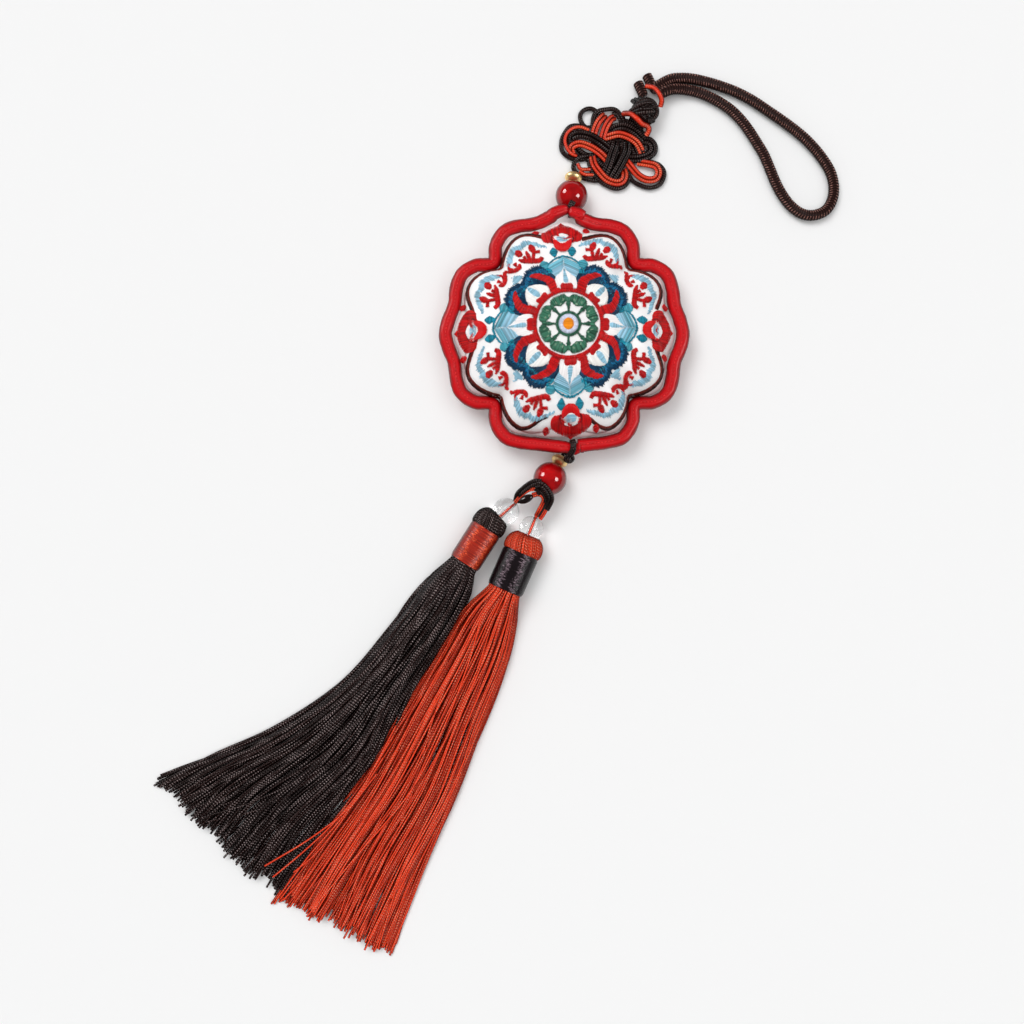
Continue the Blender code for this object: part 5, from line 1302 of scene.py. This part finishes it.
# Lacquered oval bead: place from the lower agate bead's middle, way, size, length and half its hole's width
OVAL_PLACE, OVAL_WAY, OVAL_SIZE = (-7.5, -6.4, 2.6), (3.0, 1.4, 0.8), (2.5, 5.0, 0.5)

# Ties at the top and bottom tips, in millimetres from the CAD tie's middle and from the bottom tip
TOP_TIE = ((0.6, 1.1, 0.2), (0.0, 0.0, 0.5), (-0.6, -1.2, 0.1))
LOW_TIE = ((2.3, 1.6, 2.6), (2.7, 0.1, 3.0), (2.5, -1.6, 2.6), (1.8, -2.9, 1.4))


def string_agates(paint):
    """Agate beads and gold spacers on the threads that hold them to the pouch."""
    agate, gold = red_agate(), gold_plate()
    ties = []
    for side, size in AGATES:
        bead, spacer = middle_of(side + "_agate_bead"), middle_of(side + "_spacer")
        axis = (bead - spacer).normalized()
        dress(drilled_bead(side + "_agate", size, size, bead, axis, agate), "red_agate", side + "_agate_bead")
        ring = drilled_bead(side + "_gold_spacer", SPACER_SIZE, SPACER_THICKNESS, spacer, axis, gold,
                            SPACER_BORE)
        dress(ring, "gold_spacer", side + "_spacer")
        if side == "top":
            reach = (bead.y - TIP + 0.4) / -axis.y
            ties.append(([bead + axis * reach, bead, spacer - axis * 2.2], 0.4, None))
        else:
            knot = middle_of("bottom_knot")
            route = [knot + Vector((0.0, 0.9, -2.0)), spacer - axis * 3.1 + Vector((0.3, 0.0, 0.5)),
                     spacer - axis * 2.3, spacer, bead + axis * 4.9]
            ties.append((smooth_route(route, 0.6), 0.4, None))
    threads = wind("bead_threads", ties, BEAD_THREAD, 10, paint)
    dress(threads, "dark_brown_cord", "top_thread", "bottom_thread")


def bind_tips(paint):
    """Three turns of dark cord round the piping's ends at the top and bottom tips."""
    tip = Vector((0.0, -BOTTOM_TIP, SEAM))
    turns = []
    for middle, chart in ((middle_of("top_tie"), TOP_TIE), (tip, LOW_TIE)):
        route = smooth_route([middle + Vector(spot) for spot in chart], 0.3)
        for aside in (-0.52, 0.0, 0.52):
            turns.append((beside_line(route, aside), random.random(), None))
    dress(wind("tip_ties", turns, TIE_CORD, 10, paint), "dark_brown_cord", "top_tie", "bottom_tie")


def tie_small_knot(paint):
    """Small round knot under the bottom tip: three upright loops inside five slanting ones."""
    knot, wraps = middle_of("bottom_knot"), []
    for heading in (-30, 30, 90):
        along, _ = heading_way(heading)
        wraps.append(([knot + along * 0.75 * math.cos(turn) + Vector((0.0, 0.0, 0.8 * math.sin(turn)))
                       for turn in [2 * math.pi * step / 16 for step in range(17)]], random.random(), None))
    for number in range(5):
        tilt, lean = math.pi * number / 5, 0.5 + 0.35 * number
        loop = []
        for step in range(21):
            turn = 2 * math.pi * step / 20
            wide, narrow = 1.3 * math.cos(turn), 1.05 * math.sin(turn)
            loop.append(knot + Vector((wide * math.cos(tilt) - narrow * math.sin(tilt),
                                       wide * math.sin(tilt) * 0.85 + narrow * math.cos(tilt) * 0.85,
                                       math.sin(turn + lean))))
        wraps.append((loop, random.random(), None))
    dress(wind("small_knot", wraps, SMALL_CORD, 8, paint), "dark_brown_cord", "bottom_knot")


def string_glass(paints):
    """Glass beads on their threads, the cords that fork to them, and the small dark bead between those."""
    bead, spacer, glass = middle_of("bottom_agate_bead"), middle_of("bottom_spacer"), clear_glass()
    mouths = {"agate": bead + (bead - spacer).normalized() * 5.65}
    lines, threads = {DARK: [], ORANGE: []}, []
    for side, size, heading, shade in GLASS_BEADS:
        middle, way = middle_of("glass_bead_" + side), Vector(heading).normalized()
        mouths[side] = middle - way * (size / 2 + 0.3)
        dress(drilled_bead("glass_" + side, size, size, middle, way, glass, 0.75), "clear_glass",
              "glass_bead_" + side)
        route = (middle - way * (size / 2 + 1.0), middle, middle + way * (size / 2 + 0.2))
        threads.append((route, shade, [1.0] * 3))
    for colour, half, chart in FORK_CORDS:
        spots = [mouths[spot] if isinstance(spot, str) else bead + Vector(spot) for spot in chart]
        route = smooth_route(spots, 0.4)
        for aside in (-0.85 * half, 0.85 * half):
            lines[colour].append((beside_line(route, aside), random.uniform(0.2, 0.8),
                                  [half / FORK_STRAND] * len(route)))
    lines[ORANGE] += threads
    for colour, slot in ((DARK, "dark_brown_cord"), (ORANGE, "orange_cord")):
        cords = wind("fork_" + colour + "_cords", lines[colour], FORK_STRAND, 10, paints[colour])
        dress(cords, slot, "fork_cords")
    size, length, bore = OVAL_SIZE
    oval = drilled_bead("dark_oval_bead", size, length, bead + Vector(OVAL_PLACE),
                        Vector(OVAL_WAY).normalized(), dark_lacquer(), bore)
    dress(oval, "dark_brown_cord")


def make_beads(sizes):
    """Agate, gold and glass beads with the threads, ties and forked cords that join them."""
    random.seed(13)
    paints = cord_paints(sizes)
    string_agates(paints[DARK])
    bind_tips(paints[DARK])
    tie_small_knot(paints[DARK])
    string_glass(paints)


# Rows of a skirt: how far along it they lie and how tall it is there, from 0 for flat to 1
SKIRT_ROWS = ((0.10, 0.96), (0.25, 0.85), (0.45, 0.66), (0.65, 0.42), (0.85, 0.18), (1.00, 0.00))

# Tassels: glass bead and its size, way, how far past and beside it the head starts and the band's width, in
# millimetres, then the left and right edges of the skirt at its rows, in shares of its length from its neck
TASSELS = (
    ("dark_tassel", "glass_bead_left", 8.4, (-0.538, -0.843), 0.94, 2.2, 10.2, (
        ((-0.095, -0.033), (0.022, -0.075)),
        ((-0.182, -0.144), (-0.030, -0.178)), ((-0.326, -0.312), (-0.140, -0.356)),
        ((-0.511, -0.437), (-0.215, -0.545)), ((-0.706, -0.527), (-0.368, -0.735)),
        ((-0.826, -0.587), (-0.475, -0.912)))),
    ("orange_tassel", "glass_bead_right", 7.6, (-0.402, -0.916), 1.31, -0.17, 11.7, (
        ((-0.106, -0.043), (0.035, -0.090)),
        ((-0.167, -0.140), (0.010, -0.196)), ((-0.277, -0.322), (-0.052, -0.362)),
        ((-0.392, -0.508), (-0.120, -0.555)), ((-0.525, -0.690), (-0.218, -0.758)),
        ((-0.617, -0.820), (-0.308, -0.973)))),
)

# Lengths of a tassel's skirt, head and band, and the band's height, in millimetres
SKIRT_LENGTH, HEAD_LENGTH, BAND_LENGTH, BAND_HEIGHT = 115.0, 7.0, 12.4, 10.0

# Turns of thread round a band, the points of one turn, and half the thread's width in millimetres
BAND_TURNS, TURN_POINTS, BAND_THREAD = 44, 32, 0.26

# A tassel's rounded head: how far past the band's start each point of a strand lies, and its share of width
HEAD_PROFILE = ((-6.4, 0.22), (-5.9, 0.55), (-4.9, 0.8), (-3.4, 0.95), (-1.6, 1.0), (-0.2, 0.95), (0.9, 0.78))

# Layers of strands in a head: share of its width, and how many strands lie round it
HEAD_LAYERS = ((1.0, 76), (0.9, 60), (0.76, 40))

# How many loose locks a skirt's threads gather in
LOCKS = 40

# Loose threads of the orange tassel that lie over the dark one, in millimetres with their heights
STRAYS = (
    ((-52.0, -121.0, 7.5), (-60.5, -137.0, 6.6), (-67.0, -147.0, 5.9), (-79.0, -156.5, 5.2),
     (-93.0, -165.0, 4.9)),
    ((-56.0, -131.0, 6.9), (-66.0, -146.5, 5.9), (-76.0, -160.0, 5.1), (-84.0, -167.0, 4.7)),
    ((-54.0, -126.0, 7.2), (-63.0, -141.0, 6.3), (-72.0, -152.0, 5.6), (-81.5, -161.0, 5.0),
     (-90.5, -168.5, 4.7)),
    ((-58.0, -136.0, 6.7), (-69.0, -150.0, 5.8), (-79.0, -161.5, 5.0), (-86.5, -171.5, 4.7)),
)


def tassel_threads(neck, way, edges, half, count):
    """Guide lines of a skirt: threads packed in loose locks between its edges, with ragged ends."""
    across = Vector((way.y, -way.x, 0.0))
    lines = []
    bends = [(random.gauss(0.0, 0.035), random.uniform(0.0, 2 * math.pi), random.uniform(-2.5, 1.0))
             for _ in range(LOCKS)]
    for number in range(count):
        lock = random.randrange(LOCKS)
        share = (lock + 0.5 + random.uniform(-0.62, 0.62)) / LOCKS
        share = min(max(share, 0.0), 1.0)
        level = random.random() if number % 3 else 1.0 - random.random() ** 1.5
        bend, phase, short = bends[lock]
        bend += random.gauss(0.0, 0.02 if number % 12 else 0.12)
        aside = 1.0 - 2 * share
        tall = (min(half, BAND_HEIGHT / 2 - 0.75) - 0.1) * (2 * level - 1.0)
        tall *= math.sqrt(1.0 - aside * aside * 0.9)
        inside = Vector((0.0, 0.0, BAND_HEIGHT / 2 + tall))
        spots = [neck + way * along + across * half * aside + inside for along in (-3.0, 1.0)]
        for (along, tall), (left, right) in zip(SKIRT_ROWS, edges):
            place = min(max(share + bend * math.sin(1.5 * math.pi * along + phase), 0.0), 1.0)
            first, last = Vector((*left, 0.0)), Vector((*right, 0.0))
            top = (4.2 + 5.0 * tall) * (1.0 - 0.72 * abs(2 * place - 1.0) ** 3)
            spot = neck + way * 1.5 + first.lerp(last, place) * SKIRT_LENGTH
            spots.append(spot + Vector((0.0, 0.0, 0.4 + (top - 0.8) * level)))
        tail = (spots[-1] - spots[-2]).normalized()
        reach = short + random.uniform(-2.0, 1.5) + (1.5 if number % 9 == 0 else 0.0)
        spots[-1] = spots[-1] + tail * reach + across * random.gauss(0.0, 1.0)
        route = smooth_route(spots, 4.0)
        for spot in route:
            spot.z = max(spot.z, 0.4)
        lines.append((route, random.random(), None))
    return lines


def head_threads(start, way, bead, clear, half):
    """Strands folded over a tassel's rounded head, kept clear of the glass bead before it."""
    across = Vector((way.y, -way.x, 0.0))
    lines = []
    for layer, count in HEAD_LAYERS:
        for number in range(count):
            turn = 2 * math.pi * (number + random.uniform(-0.3, 0.3)) / count
            spots = []
            for along, share in HEAD_PROFILE:
                lean, wide = turn + 0.05 * along, share * layer
                spot = (start + way * along + across * half * wide * math.cos(lean)
                        + Vector((0.0, 0.0, BAND_HEIGHT / 2 * (1.0 + wide * 0.97 * math.sin(lean)))))
                apart = spot - bead
                if apart.length < clear:
                    spot = bead + apart.normalized() * clear
                spot.z = min(max(spot.z, 0.35), BAND_HEIGHT - 0.3)
                spots.append(spot)
            route = smooth_route(spots, 0.9)
            lines.append((route, random.uniform(0.45, 1.0), [0.7] * len(route)))
    return lines


def band_turns(start, way, width):
    """Turns of thread round a tassel's band, a rounded box in section, drawn in a little at its two ends."""
    across = Vector((way.y, -way.x, 0.0))
    points = BAND_TURNS * TURN_POINTS
    spiral = []
    for step in range(points + 1):
        turn = 2 * math.pi * step / TURN_POINTS
        along = BAND_LENGTH * step / points
        swell = 1.0 - 0.05 * max(1.0 - min(along, BAND_LENGTH - along) / 0.8, 0.0)
        flat = (abs(math.cos(turn)) ** 2.6 + abs(math.sin(turn)) ** 2.2) ** (-1 / 2.2)
        rise = (BAND_HEIGHT / 2 - BAND_THREAD) * swell * flat * math.sin(turn)
        spiral.append(start + way * along + across * (width / 2 - BAND_THREAD) * swell * flat * math.cos(turn)
                      + Vector((0.0, 0.0, BAND_HEIGHT / 2 + rise)))
    return [(spiral[first:first + TURN_POINTS + 1], random.random(), None)
            for first in range(0, points, TURN_POINTS)]


def make_tassels(sizes):
    """Two tassels of twisted silk threads, their folded heads and their wrapped bands."""
    random.seed(5)
    # Tassel threads: their colour and the colour of their painted highlight dots
    silks = {
        "dark_tassel": twisted_cord("dark_brown_tassel_thread", sizes.dark_cord, linear("#c2aeac"), 0.9 * MM,
                                    contrast=0.7, glint=0.8, strength=0.6, gloss=0.15),
        "orange_tassel": twisted_cord("orange_tassel_thread", scaled(sizes.orange_cord, 1.45),
                                      linear("#ff9a78"), 0.9 * MM, contrast=0.55, glint=1.0, strength=0.6,
                                      gloss=0.15),
    }
    # Windings: their colour, the colour of their painted highlight streaks and the streaks' places round a
    # turn
    bands = {
        "dark_tassel": satin_winding("orange_satin_winding", scaled(sizes.orange_cord, 0.62),
                                     linear("#ff6438"), 33.5 * MM, ((0.17, 1.0), (0.325, 1.9)), 0.35),
        "orange_tassel": satin_winding("purple_brown_satin_winding", linear("#181014"), linear("#8a7680"),
                                       35.5 * MM, ((0.165, 1.0), (0.29, 1.0)), 0.25),
    }
    for name, bead_node, bead_size, heading, past, aside, width, edges in TASSELS:
        dark = name == "dark_tassel"
        way = Vector((*heading, 0.0)).normalized()
        across = Vector((way.y, -way.x, 0.0))
        bead = middle_of(bead_node)
        neck = Vector((bead.x, bead.y, 0.0)) + way * (past + HEAD_LENGTH + BAND_LENGTH) + across * aside
        start = neck - way * BAND_LENGTH
        lines = tassel_threads(neck, way, edges, width / 2 - 0.85, sizes.thread_count)
        if not dark:
            lines += [(smooth_route(route, 4.0), 0.7, None) for route in STRAYS]
        lines += head_threads(start, way, bead, bead_size / 2 + 0.45, width / 2 + 0.45 - 0.3)
        dress(wind(name + "_threads", lines, sizes.thread_radius / MM, 5, silks[name]),
              "dark_brown_cord" if dark else "orange_cord", name)
        dress(wind(name + "_winding", band_turns(start, way, width), BAND_THREAD, 6, bands[name]),
              "orange_cord" if dark else "dark_brown_cord", name + "_band")


# Camera straight above: its place, and the widths of its sensor and its lens, all in millimetres
CAMERA_PLACE, SENSOR_WIDTH, LENS = (-16.14, -54.94, 440), 36, 49.2

# Half the tabletop's width in metres, and how bright its white board is
TABLE_REACH, TABLE_WHITE = 1.5, 0.89


def make_stage(look):
    """Pale tabletop, soft light and two highlight lights from above, and the camera straight above."""
    world = bpy.data.worlds.new("studio_white")
    bpy.context.scene.world = world
    world.use_nodes = True
    backdrop = world.node_tree.nodes["Background"]
    backdrop.inputs["Color"].default_value = (1, 1, 1, 1)
    ray = add_node(world.node_tree, "ShaderNodeLightPath")
    glossy = add_node(world.node_tree, "ShaderNodeMapRange", {"Value": ray.outputs["Is Glossy Ray"],
                                                              "To Min": look.surround, "To Max": 0.12})
    seen_through = add_node(world.node_tree, "ShaderNodeMath", {0: ray.outputs["Is Transmission Ray"],
                                                                1: 0.5, 2: glossy}, operation="MULTIPLY_ADD")
    world.node_tree.links.new(seen_through.outputs[0], backdrop.inputs["Strength"])

    mesh = bpy.data.meshes.new("tabletop")
    corners = [(TABLE_REACH * across, TABLE_REACH * up, 0)
               for across, up in ((-1, -1), (1, -1), (1, 1), (-1, 1))]
    mesh.from_pydata(corners, [], [(0, 1, 2, 3)])
    paint, tree, shader = new_material("matt_white_board", Roughness=0.9)
    shader.inputs["Base Color"].default_value = rgba([TABLE_WHITE] * 3)
    link_new("tabletop", mesh, paint)

    for name, way, strength, angle, soft in (("overhead_scrim", (0.0, 0.1, 1.0), look.scrim, 80, True),
                                             ("key_softbox", (-0.35, 0.45, 0.82), look.key, 30, True),
                                             ("left_glint", (-0.76, 0.43, 0.49), look.glint, 24, False),
                                             ("right_glint", (0.69, -0.1, 0.7), look.glint, 24, False)):
        data = bpy.data.lights.new(name, "SUN")
        data.energy = strength
        data.angle = math.radians(angle)
        lamp = bpy.data.objects.new(name, data)
        lamp.rotation_mode = "QUATERNION"
        lamp.rotation_quaternion = Vector(way).to_track_quat("Z", "Y")
        lamp.visible_diffuse, lamp.visible_glossy = soft, not soft
        bpy.context.scene.collection.objects.link(lamp)

    data = bpy.data.cameras.new("camera")
    data.sensor_width = SENSOR_WIDTH
    data.lens = LENS
    camera = bpy.data.objects.new("camera", data)
    camera.location = [place * MM for place in CAMERA_PLACE]
    bpy.context.scene.collection.objects.link(camera)
    bpy.context.scene.camera = camera
    bpy.context.scene.view_settings.view_transform = "Standard"


class SachetStage(bpy.types.PropertyGroup):
    """Light of the studio."""

    surround: FloatProperty(name="Surround", description="Strength of the white surroundings", default=0.3)
    scrim: FloatProperty(name="Overhead scrim", description="Strength of the wide light above", default=1.44)
    key: FloatProperty(name="Key light", description="Strength of the main softbox", default=1.1)
    glint: FloatProperty(name="Glints", description="Strength of the lights for highlights only", default=1.8)


class SachetThreads(bpy.types.PropertyGroup):
    """Sizes and colours of the sachet's threads and cords."""

    stitch_radius: FloatProperty(name="Stitch radius", description="Half the width of one embroidery stitch",
                                 default=0.17 * MM, unit="LENGTH")
    stitch_spacing: FloatProperty(name="Stitch spacing", description="Distance from one stitch to the next",
                                  default=0.3 * MM, unit="LENGTH")
    thread_radius: FloatProperty(name="Tassel thread radius", description="Half a tassel thread's width",
                                 default=0.36 * MM, unit="LENGTH")
    thread_count: IntProperty(name="Tassel threads", description="How many threads a skirt has",
                              default=360)
    dark_cord: FloatVectorProperty(name="Dark cord", description="Colour of the dark brown rayon", size=3,
                                   subtype="COLOR", default=linear("#1c0c0a"))
    orange_cord: FloatVectorProperty(name="Orange cord", description="Colour of the orange rayon", size=3,
                                     subtype="COLOR", default=linear("#cf2f15"))


class SACHET_OT_stage(bpy.types.Operator):
    """Lay the tabletop and set the softboxes and the camera"""

    bl_idname = "sachet.stage"
    bl_label = "Stage and camera"

    def execute(self, context):
        make_stage(context.scene.sachet_stage)
        return {"FINISHED"}


class SACHET_OT_strap(bpy.types.Operator):
    """Knit the strap's loop and its two short ends"""

    bl_idname = "sachet.strap"
    bl_label = "Strap"

    def execute(self, context):
        make_strap(context.scene.sachet_threads)
        return {"FINISHED"}


class SACHET_OT_pouch(bpy.types.Operator):
    """Stuff the satin pouch and lay the ground of its embroidered plate"""

    bl_idname = "sachet.pouch"
    bl_label = "Pouch and plate"

    def execute(self, context):
        make_pouch()
        make_patch()
        return {"FINISHED"}


class SACHET_OT_piping(bpy.types.Operator):
    """Sew the two halves of the red piping round the pouch"""

    bl_idname = "sachet.piping"
    bl_label = "Piping"

    def execute(self, context):
        random.seed(3)
        make_rims()
        return {"FINISHED"}


class SACHET_OT_embroidery(bpy.types.Operator):
    """Embroider the medallion in satin stitch"""

    bl_idname = "sachet.embroidery"
    bl_label = "Embroidery"

    def execute(self, context):
        make_embroidery(context.scene.sachet_threads)
        return {"FINISHED"}


class SACHET_OT_knots(bpy.types.Operator):
    """Tie the woven knot and the button knot"""

    bl_idname = "sachet.knots"
    bl_label = "Knots"

    def execute(self, context):
        make_knots(context.scene.sachet_threads)
        return {"FINISHED"}


class SACHET_OT_beads(bpy.types.Operator):
    """String the beads on their cords"""

    bl_idname = "sachet.beads"
    bl_label = "Beads and forked cords"

    def execute(self, context):
        make_beads(context.scene.sachet_threads)
        return {"FINISHED"}


class SACHET_OT_tassels(bpy.types.Operator):
    """Bind the two tassels"""

    bl_idname = "sachet.tassels"
    bl_label = "Tassels"

    def execute(self, context):
        make_tassels(context.scene.sachet_threads)
        return {"FINISHED"}


OPERATORS = (SACHET_OT_stage, SACHET_OT_strap, SACHET_OT_tassels, SACHET_OT_pouch, SACHET_OT_piping,
             SACHET_OT_embroidery, SACHET_OT_knots, SACHET_OT_beads)


class SACHET_PT_pieces(bpy.types.Panel):
    """Sizes, colours and pieces of the sachet"""

    bl_label = "Embroidered sachet"
    bl_space_type = "VIEW_3D"
    bl_region_type = "UI"
    bl_category = "Sachet"

    def draw(self, context):
        for group in (context.scene.sachet_stage, context.scene.sachet_threads):
            for key in group.__annotations__:
                self.layout.prop(group, key)
        for operator in OPERATORS:
            self.layout.operator(operator.bl_idname)


CLASSES = (SachetStage, SachetThreads, *OPERATORS, SACHET_PT_pieces)


def register():
    """Add the classes and the scene's settings."""
    for item in CLASSES:
        bpy.utils.register_class(item)
    bpy.types.Scene.sachet_stage = PointerProperty(type=SachetStage)
    bpy.types.Scene.sachet_threads = PointerProperty(type=SachetThreads)


def unregister():
    """Take them away again."""
    del bpy.types.Scene.sachet_threads
    del bpy.types.Scene.sachet_stage
    for item in reversed(CLASSES):
        bpy.utils.unregister_class(item)


def main():
    """Build the whole scene."""
    register()
    for operator in OPERATORS:
        group, name = operator.bl_idname.split(".")
        getattr(getattr(bpy.ops, group), name)()


if __name__ == "__main__":
    main()
